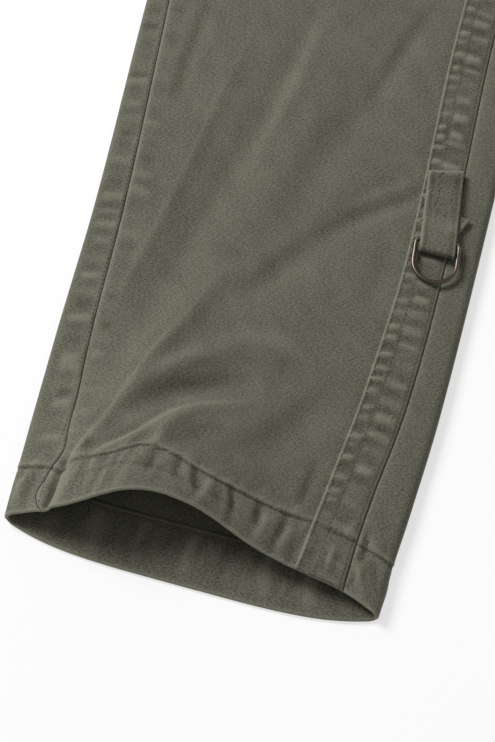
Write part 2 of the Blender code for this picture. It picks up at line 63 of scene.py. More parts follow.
Station = namedtuple("Station", "along inner_x inner_y outer_x outer_y seam_in seam_out tape lift dip")
STATIONS = (
    Station(0.0, 128.2, -516.2, 345.8, -498.8, 23.5, 25.2, 28.5, 0.0, 0.0),
    Station(30.0, 123.2, -486.6, 343.9, -468.0, 24.2, 25.2, 26.7, 0.0, 0.0),
    Station(60.0, 118.4, -458.6, 343.2, -437.0, 26.9, 25.2, 26.0, 0.0, 0.0),
    Station(125.0, 107.8, -394.9, 340.3, -370.4, 24.3, 22.3, 26.5, 0.0, 0.0),
    Station(225.0, 92.3, -297.6, 331.8, -270.2, 22.0, 21.8, 24.2, 0.0, 0.0),
    Station(390.0, 61.4, -136.1, 315.5, -104.9, 18.2, 26.6, 24.4, 0.0, 0.0),
    Station(570.0, 30.6, 41.4, 295.6, 74.0, 12.0, 24.0, 24.0, 0.0, 0.0),
    Station(755.0, 0.15, 224.1, 273.5, 257.7, 3.0, 21.0, 23.0, 0.0, 0.0),
    Station(835.0, 0.15, 301.0, 272.0, 322.0, 3.0, 21.0, 23.0, 0.0, 0.0),
    Station(915.0, 0.15, 380.0, 260.0, 392.0, 3.0, 21.0, 23.0, 0.3, 4.0),
    Station(975.0, 0.15, 440.0, 241.0, 444.0, 3.0, 21.0, 23.0, 1.2, 14.0),
    Station(1017.0, 0.15, 482.0, 226.0, 482.0, 3.0, 21.0, 23.0, 1.5, 20.0),
    Station(1057.0, 0.15, 522.0, 217.0, 522.0, 3.0, 21.0, 23.0, 1.5, 20.0),
)

# The lifted front of each hem mouth: how far it stands up and is pushed up
Mouth = namedtuple("Mouth", "across rise push")
LEFT_MOUTH = (
    Mouth(0.00, 0.0, 0.0), Mouth(0.06, 5.0, 3.0), Mouth(0.13, 13.0, 6.0), Mouth(0.21, 23.0, 12.0),
    Mouth(0.30, 28.0, 21.0), Mouth(0.38, 28.0, 25.0), Mouth(0.48, 23.0, 24.5), Mouth(0.55, 18.0, 21.5),
    Mouth(0.65, 10.0, 15.5), Mouth(0.77, 4.0, 11.5), Mouth(0.90, 1.0, 7.5), Mouth(1.00, 0.0, 0.0),
)
RIGHT_MOUTH = (
    Mouth(0.00, 0.0, 0.0), Mouth(0.07, 4.5, 3.0), Mouth(0.15, 12.0, 6.5), Mouth(0.24, 21.0, 12.0),
    Mouth(0.34, 26.0, 19.0), Mouth(0.44, 26.0, 22.0), Mouth(0.54, 21.0, 21.0), Mouth(0.64, 14.0, 17.0),
    Mouth(0.76, 6.4, 12.6), Mouth(0.89, 1.9, 7.6), Mouth(1.00, 0.0, 0.0),
)
MOUTH_FADE = ((0.0, 1.0), (25.0, 0.86), (60.0, 0.62), (100.0, 0.34), (150.0, 0.12), (210.0, 0.0))
BACK_BULGE = 10.6
BULGE_FADE = 70.0

# The part's largest folds, from a start through a middle to an end
Fold = namedtuple("Fold", "start_in start_up middle_in middle_up end_in end_up height width")
LEFT_FOLDS = (
    Fold(34.0, 30.0, 60.0, 106.0, 92.0, 190.0, 4.0, 9.0),
    Fold(96.0, 200.0, 118.0, 282.0, 140.0, 380.0, 2.2, 17.0),
    Fold(29.0, 140.0, 48.0, 240.0, 72.0, 370.0, 1.8, 8.0),
    Fold(36.0, 88.0, 69.0, 215.0, 120.0, 415.0, -2.2, 10.0),
    Fold(112.0, 215.0, 145.0, 305.0, 190.0, 420.0, -1.8, 13.0),
    Fold(200.0, 277.0, 163.0, 247.0, 104.0, 166.0, -2.2, 9.0),
    Fold(60.0, 84.0, 96.0, 122.0, 140.0, 126.0, 3.0, 8.5),
    Fold(62.0, 60.0, 92.0, 90.0, 128.0, 108.0, -3.2, 9.5),
    Fold(120.0, 430.0, 150.0, 560.0, 120.0, 700.0, 2.5, 18.0),
)
RIGHT_FOLDS = (
    Fold(60.0, 20.0, 74.0, 120.0, 100.0, 260.0, 3.0, 14.0),
    Fold(150.0, 60.0, 128.0, 170.0, 96.0, 330.0, -3.0, 18.0),
    Fold(72.0, 336.0, 122.0, 398.0, 186.0, 432.0, 3.2, 16.0),
    Fold(90.0, 470.0, 120.0, 580.0, 170.0, 690.0, 2.5, 20.0),
)

# How far each leg's inseam strays from its straight line, and the height of the
# hem's stitches across the front
Bend = namedtuple("Bend", "along shift")
SEAM_BENDS = (
    Bend(0.0, 0.4), Bend(3.0, -2.0), Bend(9.0, -4.7), Bend(14.0, -4.3), Bend(20.0, -2.3), Bend(27.0, -0.7),
    Bend(31.0, 0.4), Bend(36.0, 2.3), Bend(41.0, 2.9), Bend(48.0, 1.7), Bend(60.0, 0.0), Bend(80.0, 0.3),
    Bend(110.0, 0.0),
)
Sewn = namedtuple("Sewn", "across up")
LEFT_HEM_LINE = (
    Sewn(0.0, 30.0), Sewn(12.0, 28.8), Sewn(22.0, 27.4), Sewn(29.0, 24.4), Sewn(33.0, 29.6), Sewn(37.0, 31.0),
    Sewn(46.0, 30.0), Sewn(56.0, 30.2), Sewn(70.0, 33.4), Sewn(80.0, 32.3), Sewn(90.0, 29.8),
    Sewn(100.0, 26.2),
    Sewn(112.0, 24.6), Sewn(124.0, 25.6), Sewn(140.0, 28.0), Sewn(160.0, 29.6), Sewn(170.0, 31.0),
    Sewn(198.0, 30.6), Sewn(222.0, 29.6),
)
RIGHT_HEM_LINE = (
    Sewn(0.0, 29.0), Sewn(30.0, 30.2), Sewn(60.0, 27.6), Sewn(90.0, 28.2), Sewn(120.0, 31.0),
    Sewn(160.0, 28.4), Sewn(222.0, 30.0),
)

# Smaller creases.  A route is a line of (in, up) points; heights are spaced
# evenly along it; left and right are the reach to each side going along it,
# and a power under 2 makes the crest sharp.
Crease = namedtuple("Crease", "route heights left right power")
LEFT_FRONT_CREASES = (
    # the long crest from the hem's inner corner, with the hollow beside its foot
    Crease(((27, 0), (29, 8), (31, 24), (34, 38), (40, 50), (48, 68), (55, 92), (62, 115), (73, 140),
            (86, 175), (98, 200)),
           (1.5, 1.3, 1.0, 0.8, 0.6, 0.4, 0.3, 0.3, 0.2, 0.1, 0.0), 2.2, 5.0, 1.4),
    Crease(((29, 4), (31, 24), (34, 38), (40, 50), (48, 68), (55, 92), (62, 115), (73, 140), (84, 170)),
           (0.3, 0.3, 0.35, 0.35, 0.35, 0.3, 0.3, 0.2, 0.0), 1.1, 1.3, 1.0),
    Crease(((24, 0), (25, 8), (26, 16), (28, 26), (30, 34)), (-1.6, -2.2, -2.0, -1.2, 0.0), 4.0, 3.2, 2.0),
    Crease(((36, 36), (39, 41), (42, 46)), (0.0, -0.7, 0.0), 2.0, 3.0, 2.0),
    # the second long crest
    Crease(((28, 132), (31, 152), (36, 182), (42, 207), (48, 238), (54, 266), (59, 296), (66, 330),
            (71, 352), (79, 400)),
           (0.0, 0.2, 0.3, 0.3, 0.3, 0.3, 0.3, 0.25, 0.2, 0.0), 1.6, 2.4, 1.3),
    # the low ridge that runs out from the hem below the deep hollow
    Crease(((43, 31), (50, 36), (56, 38), (62, 42), (68, 47), (76, 57), (86, 69), (100, 80), (116, 89),
            (134, 100)),
           (0.3, 0.9, 1.1, 1.2, 1.1, 1.0, 0.8, 0.6, 0.3, 0.0), 3.0, 4.5, 1.4),
    Crease(((44, 32), (50, 36), (56, 38), (62, 42), (68, 47), (76, 57), (86, 69), (100, 80), (116, 89),
            (128, 96)),
           (0.2, 0.4, 0.5, 0.5, 0.5, 0.5, 0.4, 0.3, 0.2, 0.0), 0.9, 1.1, 1.0),
    Crease(((56, 62), (70, 79), (84, 91), (102, 100), (126, 110)), (0.0, -1.5, -2.0, -1.6, 0.0), 8.5, 11.0,
           2.0),
    Crease(((48, 66), (62, 92), (82, 112), (110, 124)), (0.0, 0.7, 0.8, 0.0), 7.0, 6.0, 2.0),
    Crease(((74, 30), (77, 40), (79, 52), (86, 64), (96, 72)), (0.6, 1.2, 1.3, 0.9, 0.0), 7.0, 4.5, 1.7),
    Crease(((84, 36), (92, 48), (104, 60), (116, 68)), (0.0, -0.7, -0.7, 0.0), 6.0, 8.0, 2.0),
    # the soft band beside the tape, and the crease that runs in under the tab
    Crease(((104, 36), (124, 58), (140, 76), (152, 96), (164, 116), (176, 140)),
           (0.0, -0.9, -1.3, -1.3, -0.9, 0.0), 9.0, 12.0, 2.0),
    Crease(((168, 74), (166, 60), (164, 46), (160, 36)), (0.0, -0.5, -0.6, 0.0), 2.5, 3.0, 2.0),
    Crease(((122, 206), (140, 226), (158, 243), (178, 258), (192, 269), (203, 280)),
           (0.0, -0.2, -0.4, -0.6, -0.7, -0.3), 4.0, 6.0, 2.0),
    Crease(((150, 246), (170, 262), (190, 278)), (0.0, 0.5, 0.3), 5.0, 3.0, 2.0),
    # softer ones
    Crease(((92, 128), (112, 140), (136, 142), (158, 128)), (0.0, 0.6, 0.6, 0.0), 8.0, 8.0, 2.0),
    Crease(((100, 165), (118, 196), (136, 222)), (0.0, -0.7, 0.0), 7.0, 9.0, 2.0),
    Crease(((152, 316), (164, 352), (176, 388), (190, 424)), (0.0, -0.5, -0.6, 0.0), 5.0, 6.0, 2.0),
    Crease(((34, 292), (35, 330), (39, 372), (43, 400)), (0.0, -0.5, -0.5, 0.0), 4.5, 5.0, 2.0),
    Crease(((88, 250), (100, 300), (112, 352), (120, 404)), (0.0, 0.5, 0.6, 0.0), 6.0, 6.0, 2.0),
    Crease(((172, 168), (180, 205), (182, 240)), (0.0, -0.5, 0.0), 8.0, 10.0, 2.0),
    # the hem's own puckers
    Crease(((13, 40), (9, 30), (6, 21), (4, 13), (2, 7)), (0.0, 0.6, 0.7, 0.6, 0.2), 2.4, 1.3, 1.4),
    Crease(((38, 29), (37, 22), (36, 11)), (0.3, 0.4, 0.0), 1.5, 1.2, 1.4),
    Crease(((46, 30), (45, 20), (45, 7)), (0.5, 0.7, 0.1), 1.8, 1.1, 1.3),
    Crease(((56, 29), (54, 17), (52, 8), (50, 0)), (0.5, 0.7, 0.6, 0.2), 1.8, 1.1, 1.3),
    Crease(((63, 30), (60, 20), (59, 9)), (0.5, 0.7, 0.0), 1.8, 1.1, 1.3),
    Crease(((70, 33), (68, 25), (67, 18)), (0.5, 0.4, 0.0), 1.6, 1.2, 1.4),
    Crease(((78, 30), (77, 20), (76, 10)), (-0.4, -0.7, 0.0), 2.5, 2.5, 2.0),
    Crease(((92, 28), (92, 20), (94, 8)), (-0.6, -0.9, 0.0), 2.2, 2.6, 2.0),
    Crease(((102, 25), (103, 18), (105, 8)), (-0.9, -1.3, 0.0), 2.2, 2.0, 2.0),
    Crease(((110, 24), (112, 14), (112, 4)), (0.3, 0.5, 0.0), 3.0, 2.5, 2.0),
    Crease(((124, 25), (126, 17), (126, 8), (125, 0)), (-1.0, -1.4, -0.6, -0.4), 1.9, 1.9, 2.0),
    Crease(((141, 27), (141, 19), (142, 11)), (-0.8, -1.0, 0.0), 2.0, 2.2, 2.0),
    Crease(((157, 29), (156, 20), (154, 12), (152, 2)), (-0.7, -1.0, -0.6, -0.5), 2.2, 2.4, 2.0),
    Crease(((163, 10), (163, 0)), (-0.2, -0.7), 1.4, 1.4, 2.0),
    Crease(((168, 28), (166, 20), (165, 10)), (0.5, 0.4, 0.0), 1.8, 1.4, 1.6),
    Crease(((33, 18), (46, 18), (60, 20), (76, 18), (92, 15), (108, 13), (126, 14), (146, 13)),
           (0.0, -0.35, -0.35, -0.3, -0.35, 0.0), 1.6, 1.3, 2.0),
    # beside the tape's foot
    Crease(((203, 46), (204, 32), (202, 18)), (0.0, -1.3, -0.4), 2.0, 1.8, 2.0),
    Crease(((201, 43), (206, 37), (209, 28)), (0.0, 0.6, 0.0), 1.2, 1.6, 1.5),
    Crease(((197, 1), (200, 9), (201, 17)), (-0.3, -0.7, 0.0), 1.2, 1.4, 2.0),
    Crease(((201, 18), (204, 11), (207, 2)), (0.5, 0.7, 0.4), 1.3, 1.3, 1.3),
    Crease(((208, 30), (212, 20), (214, 8)), (0.0, -0.6, 0.0), 2.0, 2.6, 2.0),
    # above the camera's frame, on the thigh and at the crotch
    Crease(((60, 440), (90, 500), (100, 590), (92, 660)), (0.0, 0.9, 0.8, 0.0), 12.0, 9.0, 2.0),
    Crease(((20, 700), (60, 735), (110, 752)), (0.0, 1.1, 0.0), 9.0, 7.0, 1.6),
    Crease(((14, 672), (54, 700), (100, 716)), (0.0, -0.9, 0.0), 8.0, 8.0, 2.0),
    Crease(((30, 790), (70, 812), (128, 840)), (0.0, 0.8, 0.0), 10.0, 8.0, 2.0),
    Crease(((150, 470), (128, 540), (136, 610)), (0.0, -0.8, 0.0), 12.0, 12.0, 2.0),
)
RIGHT_FRONT_CREASES = (
    Crease(((36, 24), (34.8, 57.6), (84, 170), (104, 250)), (0.0, 1.2, 1.0, 0.0), 7.0, 5.0, 1.3),
    Crease(((52, 40), (44.4, 62.4), (102, 168), (120, 230)), (0.0, -0.8, -1.0, 0.0), 7.0, 10.0, 2.0),
    Crease(((120, 36), (84.0, 48.0), (150, 140), (148, 190)), (0.0, 0.8, 0.7, 0.0), 9.0, 6.0, 1.6),
    Crease(((96, 52), (78.0, 39.6), (168, 60)), (0.0, -0.7, 0.0), 7.0, 9.0, 2.0),
    Crease(((24, 210), (24.0, 168.0), (66, 350), (84, 440)), (0.0, 0.7, 0.8, 0.0), 8.0, 5.0, 1.4),
    Crease(((118, 250), (90.0, 186.0), (176, 370), (190, 430)), (0.0, -1.0, -0.8, 0.0), 10.0, 9.0, 2.0),
    Crease(((136, 196), (96.0, 139.2), (194, 262)), (0.0, -0.8, 0.0), 5.0, 9.0, 1.7),
    Crease(((70, 470), (57.6, 336.0), (90, 650)), (0.0, 0.9, 0.0), 12.0, 9.0, 2.0),
    Crease(((18, 694), (33.6, 438.0), (104, 744)), (0.0, 1.1, 0.0), 9.0, 7.0, 1.6),
    Crease(((12, 668), (30.0, 416.4), (96, 712)), (0.0, -0.8, 0.0), 8.0, 8.0, 2.0),
    Crease(((26, 784), (43.2, 483.6), (124, 846)), (0.0, 0.8, 0.0), 10.0, 8.0, 2.0),
)
LEFT_BACK_CREASES = (
    Crease(((60, 30), (70, 90), (92, 160)), (0.0, -2.2, 0.0), 9.0, 11.0, 1.8),
    Crease(((150, 50), (136, 120), (140, 200)), (0.0, -1.8, 0.0), 10.0, 9.0, 1.8),
    Crease(((40, 330), (90, 356), (150, 350)), (0.0, -2.4, 0.0), 8.0, 10.0, 1.7),
    Crease(((60, 392), (110, 404), (170, 386)), (0.0, -2.0, 0.0), 7.0, 9.0, 1.7),
    Crease(((80, 450), (110, 560), (100, 640)), (0.0, -1.6, 0.0), 14.0, 12.0, 2.0),
    Crease(((16, 690), (80, 716), (150, 700)), (0.0, -2.2, 0.0), 9.0, 10.0, 1.7),
    Crease(((20, 740), (70, 780), (140, 790)), (0.0, -1.8, 0.0), 10.0, 9.0, 1.8),
    Crease(((60, 860), (110, 890), (170, 880)), (0.0, -1.5, 0.0), 12.0, 12.0, 2.0),
)
RIGHT_BACK_CREASES = (
    Crease(((70, 26), (84, 100), (76, 170)), (0.0, -2.0, 0.0), 10.0, 9.0, 1.8),
    Crease(((140, 60), (150, 150), (132, 220)), (0.0, -1.6, 0.0), 9.0, 11.0, 1.8),
    Crease(((50, 346), (100, 340), (156, 366)), (0.0, -2.4, 0.0), 9.0, 8.0, 1.7),
    Crease(((44, 404), (96, 388), (160, 410)), (0.0, -1.7, 0.0), 8.0, 8.0, 1.7),
    Crease(((96, 470), (84, 560), (104, 650)), (0.0, -1.5, 0.0), 13.0, 13.0, 2.0),
    Crease(((18, 704), (76, 700), (140, 724)), (0.0, -2.1, 0.0), 10.0, 9.0, 1.7),
    Crease(((24, 768), (80, 764), (150, 800)), (0.0, -1.7, 0.0), 9.0, 10.0, 1.8),
)

Leg = namedtuple("Leg", "name side mouth folds front_creases back_creases hem_line bend")
LEFT = Leg("left", 1.0, LEFT_MOUTH, LEFT_FOLDS, LEFT_FRONT_CREASES, LEFT_BACK_CREASES, LEFT_HEM_LINE, 1.0)
RIGHT = Leg("right", -1.0, RIGHT_MOUTH, RIGHT_FOLDS, RIGHT_FRONT_CREASES, RIGHT_BACK_CREASES,
            RIGHT_HEM_LINE, 0.5)

# Tape, tab and ring
TAPE_TOP = 470.0
TAPE_MIDDLE = 0.36
TAB_LOW = 228.0
TAB_TOP = 293.0
TAB_WIDTH = 22.0
TAB_INSET = 1.0
TAB_SLANT = 5.0
TAB_SKEW = 5.0
WIRE = 2.6
RING_BAR_UP = 238.0
RING_LENGTH = 28.5
RING_HALF_BAR = 10.3
RING_CORNER = 3.0
RING_BOW = RING_HALF_BAR + RING_CORNER

# Pocket, flap, fly, welts, loops and buttons
POCKET_LOW = 470.0
POCKET_TOP = 650.0
POCKET_WIDTH = 140.0
POCKET_PUFF = 1.6
FLAP_LOW = 620.0
FLAP_TOP = 705.0
FLAP_BUTTON_UP = 638.0
FLY_LOW = 850.0
FLY_WIDTH = 38.0
WELT_WIDTH = 12.0
WELT_LOW = 868.0
WELT_HIGH = 1008.0
WELT_LOW_IN = 16.0
WELT_HIGH_IN = 62.0
LOOP_WIDTH = 10.0
LOOP_SPREAD = 95.0
LOOP_UNDERLAP = 6.0
BUTTON_RADIUS = 8.0
BUTTON_HEIGHT = 2.6
BUTTON_BARS = (-1.3, 1.3)
LAP = 24.0

# Stitching
STITCH_PITCH = 3.1
STITCH_LENGTH = 2.3
STITCH_WIDTH = 0.62
STITCH_HEIGHT = 0.42
HEM_STITCH = 29.5


def lerp(start, end, share):
    return start + (end - start) * share


def ease(value):
    share = np.clip(value, 0.0, 1.0)
    return share * share * (3.0 - 2.0 * share)


def curve_through(xs, ys, at):
    """Values at some places on the smooth curve through the given points."""
    xs = np.asarray(xs, float)
    ys = np.asarray(ys, float)
    at = np.asarray(at, float)
    last = len(xs) - 1
    step = np.clip(np.searchsorted(xs, at, side="right") - 1, 0, last - 1)
    before = np.maximum(step - 1, 0)
    after = np.minimum(step + 2, last)
    span = xs[step + 1] - xs[step]
    share = np.clip((at - xs[step]) / span, 0.0, 1.0)
    slope_in = (ys[step + 1] - ys[before]) / (xs[step + 1] - xs[before]) * span
    slope_out = (ys[after] - ys[step]) / (xs[after] - xs[step]) * span
    cube = share ** 3
    square = share ** 2
    inside = ((2.0 * cube - 3.0 * square + 1.0) * ys[step] + (cube - 2.0 * square + share) * slope_in
              + (3.0 * square - 2.0 * cube) * ys[step + 1] + (cube - square) * slope_out)
    low = (at - xs[0]) * (ys[1] - ys[0]) / (xs[1] - xs[0])
    high = (at - xs[last]) * (ys[last] - ys[last - 1]) / (xs[last] - xs[last - 1])
    return np.where(at < xs[0], ys[0] + low, np.where(at > xs[last], ys[last] + high, inside))


STATION_COLUMNS = tuple(zip(*STATIONS))
Row = namedtuple("Row", "inner_x inner_y outer_x outer_y seam_in seam_out tape lift dip width half folded")


def rows_at(along):
    """The lines across the leg at some distances from the hem."""
    values = [curve_through(STATION_COLUMNS[0], column, along) for column in STATION_COLUMNS[1:]]
    values[0] = np.maximum(values[0], GAP / 2.0)
    values[7] = np.maximum(values[7], 0.0)
    width = np.hypot(values[2] - values[0], values[3] - values[1])
    half = width - 2.0 * FOLD_RADIUS + 2.0 * QUARTER
    folded = np.clip((CROTCH + CROTCH_EASE - along) / CROTCH_EASE, 0.0, 1.0)
    return Row(*values, width, half, folded)


def section(row, around):
    """Distance across, height from mid-thickness, and front (1) or back (-1)."""
    whole = 2.0 * row.half
    place = np.clip(np.where(row.folded > 0.5, np.mod(around, whole), around), 0.0, whole)
    side = np.where(place <= row.half, 1.0, -1.0)
    run = np.minimum(place, whole - place)
    turn_in = run / FOLD_RADIUS
    turn_out = (row.half - run) / FOLD_RADIUS
    across_in = lerp(run * FOLD_RADIUS / QUARTER, FOLD_RADIUS * (1.0 - np.cos(turn_in)), row.folded)
    height_in = lerp(FOLD_RADIUS, FOLD_RADIUS * np.sin(turn_in), row.folded)
    across_out = row.width - FOLD_RADIUS * (1.0 - np.cos(turn_out))
    inner = run < QUARTER
    outer = run > row.half - QUARTER
    across = np.where(inner, across_in, np.where(outer, across_out, FOLD_RADIUS + run - QUARTER))
    height = np.where(inner, height_in, np.where(outer, FOLD_RADIUS * np.sin(turn_out), FOLD_RADIUS))
    return across, height, side


def nearest_on(route, x, y):
    """Distance to a line of points, share of the way along it, and which side of it."""
    best = np.full(x.shape, 1e9)
    share = np.zeros(x.shape)
    turn = np.ones(x.shape)
    steps = len(route) - 1
    for step in range(steps):
        start = route[step]
        reach = route[step + 1] - start
        part = ((x - start[0]) * reach[0] + (y - start[1]) * reach[1]) / (reach[0] ** 2 + reach[1] ** 2)
        part = np.clip(part, 0.0, 1.0)
        off_x = x - start[0] - reach[0] * part
        off_y = y - start[1] - reach[1] * part
        distance = np.hypot(off_x, off_y)
        closer = distance < best
        best = np.where(closer, distance, best)
        share = np.where(closer, (step + part) / steps, share)
        turn = np.where(closer, np.sign(reach[0] * off_y - reach[1] * off_x), turn)
    return best, share, turn


def fold_rise(folds, across, along):
    """Height that the part's own folds add to the front."""
    total = np.zeros(across.shape)
    for fold in folds:
        share = np.linspace(0.0, 1.0, FOLD_STEPS + 1)
        first = 2.0 * (share - 0.5) * (share - 1.0)
        middle = 4.0 * share * (1.0 - share)
        last = 2.0 * share * (share - 0.5)
        route = np.stack([
            first * fold.start_in + middle * fold.middle_in + last * fold.end_in,
            first * fold.start_up + middle * fold.middle_up + last * fold.end_up,
        ], axis=1)
        near = close_to(route, across, along, 3.0 * fold.width)
        distance, place, _ = nearest_on(route, across[near], along[near])
        fade = np.sin(np.pi * place) ** 0.6
        total[near] += fold.height * fade * np.exp(-(distance / fold.width) ** 2)
    return total


def close_to(route, x, y, reach):
    """Which points are in the route's box, grown by a reach."""
    low = route.min(axis=0) - reach
    high = route.max(axis=0) + reach
    return (x > low[0]) & (x < high[0]) & (y > low[1]) & (y < high[1])


def mouth_value(leg, share, along, column):
    table = tuple(zip(*leg.mouth))
    fade = np.where(along < MOUTH_FADE[-1][0], curve_through(*zip(*MOUTH_FADE), along), 0.0)
    return curve_through(table[0], table[column], np.clip(share, 0.0, 1.0)) * fade


def front_rise(leg, share, across, along):
    """Height of the front above its side folds."""
    hips = ease((along - CROTCH) / HIP_BLEND)
    inside = np.clip(share, 0.0, 1.0)
    leg_bell = np.clip(np.sin(math.pi * inside), 0.0, 1.0) ** 0.7
    hip_bell = np.clip(np.cos(0.5 * math.pi * inside), 0.0, 1.0) ** 0.5
    edge = np.clip(across / FOLD_MARGIN, 0.0, 1.0) * (1.0 - hips)
    folds = fold_rise(leg.folds, across, along) * edge
    return FRONT_CAMBER * lerp(leg_bell, hip_bell, hips) + folds + mouth_value(leg, share, along, 1)


def base_points(leg, around, along):
    """Points of the part's outer skin, in millimetres."""
    row = rows_at(along)
    across, height, side = section(row, around)
    share = across / row.width
    lean = height / FOLD_RADIUS
    front = side > 0.0
    rise = front_rise(leg, share, across, along) * lean
    level = row.lift + FOLD_RADIUS + side * height + np.where(front, rise, 0.0)
    push = mouth_value(leg, share, along, 2) * lean - row.dip * (1.0 - share ** 2)
    bulge = BACK_BULGE * (1.0 - (2.0 * share - 1.0) ** 4)
    under = np.where(along < BULGE_FADE, -bulge * (1.0 - ease(along / BULGE_FADE)) * lean, 0.0)
    shift = np.where(front, push, under)
    way_x = (row.outer_x - row.inner_x) / row.width
    way_y = (row.outer_y - row.inner_y) / row.width
    x = row.inner_x + way_x * across - way_y * shift
    y = row.inner_y + way_y * across + way_x * shift
    return np.stack([x * leg.side, y, level], axis=-1)


def crease_rise(creases, across, along):
    """Height that the listed creases add."""
    total = np.zeros(across.shape)
    for crease in creases:
        points = np.array(crease.route, float)
        knots = np.arange(len(points))
        fine = np.linspace(0.0, len(points) - 1.0, 6 * (len(points) - 1) + 1)
        route = np.stack([curve_through(knots, points[:, axis], fine) for axis in (0, 1)], axis=1)
        near = close_to(route, across, along, 3.2 * max(crease.left, crease.right))
        if near.any():
            distance, place, turn = nearest_on(route, across[near], along[near])
            reach = np.where(turn > 0.0, crease.left, crease.right)
            spots = np.linspace(0.0, 1.0, len(crease.heights))
            height = curve_through(spots, crease.heights, place)
            total[near] += height * np.exp(-(distance / reach) ** crease.power)
    return total


def chance(number, seed):
    """An uneven but fixed number from 0 to 1."""
    value = np.sin(number * 12.9898 + seed * 78.233) * 43758.5453
    return value - np.floor(value)


def puckers(run, offset, pitch, reach, width, slant, seed, weakest=-0.75):
    """Uneven small waves across a seam: run is along it and offset is from it."""
    total = np.zeros(run.shape)
    for beside in (-1, 0, 1):
        number = np.round(run / pitch) + beside
        centre = (number + 0.6 * (chance(number, seed) - 0.5)) * pitch
        lean = slant * (0.5 + chance(number, seed + 1.0))
        broad = width * (0.65 + 0.7 * chance(number, seed + 2.0))
        long = reach * (0.7 + 0.6 * chance(number, seed + 3.0))
        strength = lerp(weakest, 1.25, chance(number, seed + 4.0))
        middle = reach * 0.3 * (chance(number, seed + 5.0) - 0.5)
        away = (run - centre - lean * offset) / broad
        total += strength * np.exp(-away ** 2) * np.exp(-((offset - middle) / long) ** 4)
    return total


def unevenness(around, along, seed):
    """Faint, wide waves that no worn cloth is without."""
    first = np.sin(along / 13.0 + 1.4 * np.sin(around / 21.0 + seed) + seed)
    second = np.sin(around / 9.0 + 1.2 * np.sin(along / 17.0 - seed))
    third = np.sin((around + along) / 5.6 + 1.6 * np.sin((around - along) / 19.0 + seed))
    return 0.16 * first * second + 0.07 * third * second


def groove(offset, width):
    return np.exp(-(offset / width) ** 2)


def seam_place(leg, along, row):
    """Where the inseam lies around the leg."""
    along = np.asarray(along, float)
    bend = np.where(along < SEAM_BENDS[-1].along, curve_through(*zip(*SEAM_BENDS), along), 0.0)
    return (row.seam_in + leg.bend * bend) * row.folded


def hem_height(leg, across, front):
    """How far above the edge the hem is stitched."""
    return np.where(front,
                    curve_through(*zip(*leg.hem_line), np.clip(across, 0.0, leg.hem_line[-1].across)),
                    HEM_STITCH)


def relief(leg, around, along):
    """Everything finer than the part's own form, outwards from its skin."""
    row = rows_at(along)
    across, height, side = section(row, around)
    front = side > 0.0
    lean = height / FOLD_RADIUS
    above = crease_rise(leg.front_creases, across, along)
    below = crease_rise(leg.back_creases, across, along)
    seed = 3.0 if leg is LEFT else 11.0
    total = (np.where(front, above, below) + unevenness(around, along, seed)) * lean
    inseam = np.mod(around - seam_place(leg, along, row) + row.half, 2.0 * row.half) - row.half
    outseam = around - (row.half - row.seam_out)
    legs = row.folded * lean
    top = np.where(front, 1.0, 0.35)
    above_hem = ease((along - 36.0) / 16.0)
    # inseam: puckers on both sides, and the front's edge lapped over the back's
    total += 0.85 * puckers(along, inseam + 8.5, 12.0, 6.0, 3.2, 0.10, seed) * legs * top * above_hem
    total += 0.55 * puckers(along, inseam - 7.5, 13.5, 5.5, 3.4, -0.10, seed + 20.0) * legs * top * above_hem
    lap = lerp(-0.1, 0.5, ease((along - 110.0) / 60.0))
    total += np.where(inseam > 0.0, lap * np.exp(-np.abs(inseam) / 3.0), 0.0) * row.folded
    total -= 0.5 * groove(inseam, 0.9) * row.folded
    # tape on the front, between its three rows of stitches
    taped = ease((TAPE_TOP + 6.0 - along) / 12.0) * lerp(0.35, 1.0, above_hem)
    left_edge = outseam + row.tape
    total += 1.35 * puckers(along, left_edge - 5.0, 9.6, 3.6, 1.9, 0.10, seed + 40.0, 0.35) * taped
    total += 1.3 * puckers(along, outseam + 9.6, 12.4, 6.4, 2.6, -0.12, seed + 60.0, 0.1) * taped
    total += 0.35 * puckers(along, outseam + 9.6, 6.3, 6.0, 1.6, 0.2, seed + 70.0) * taped
    # outseam
    total -= 0.4 * groove(outseam, 0.8)
    total += 0.3 * puckers(along, outseam - 3.0, 14.0, 5.0, 3.2, 0.2, seed + 80.0) * (1.0 - taped)
    # hem
    sewn = along - hem_height(leg, across, front)
    total += 0.75 * puckers(around, along - 15.0, 8.6, 11.0, 2.4, 0.25,
                            seed + 100.0) * ease((26.0 - along) / 6.0) * top
    total += 0.35 * puckers(around, sewn - 5.0, 9.0, 5.0, 2.4, 0.3, seed + 120.0) * top
    total += (0.35 * groove(sewn - 2.0, 1.3) - 0.85 * groove(sewn, 0.9)) * top
    inward = np.minimum(total * np.where(along < HEM_DEPTH, 1.1, 0.6), 0.0)
    return np.where(front, total, inward)


def outward(base, turn):
    """Directions out of the cloth at the points of a grid."""
    sideways = np.gradient(base, axis=1)
    upwards = np.gradient(base, axis=0)
    normal = np.cross(sideways, upwards)
    return normal / np.linalg.norm(normal, axis=-1, keepdims=True) * turn


def spot(leg, around, along, out, depth=1.0):
    """Single points of the finished cloth, each with its outward direction."""
    near = 0.5

    def level(shift_around, shift_along):
        places = around + shift_around
        heights = along + shift_along
        base = base_points(leg, places, heights)
        rough = np.cross(base_points(leg, places + near, heights) - base_points(leg, places - near, heights),
                         base_points(leg, places, heights + near) - base_points(leg, places, heights - near))
        rough /= np.linalg.norm(rough, axis=-1, keepdims=True)
        return base + rough * leg.side * depth * relief(leg, places, heights)[..., None]

    centre = level(0.0, 0.0)
    sideways = level(near, 0.0) - level(-near, 0.0)
    upwards = level(0.0, near) - level(0.0, -near)
    normal = np.cross(sideways, upwards)
    normal *= leg.side / np.linalg.norm(normal, axis=-1, keepdims=True)
    return centre + normal * np.asarray(out)[..., None], normal


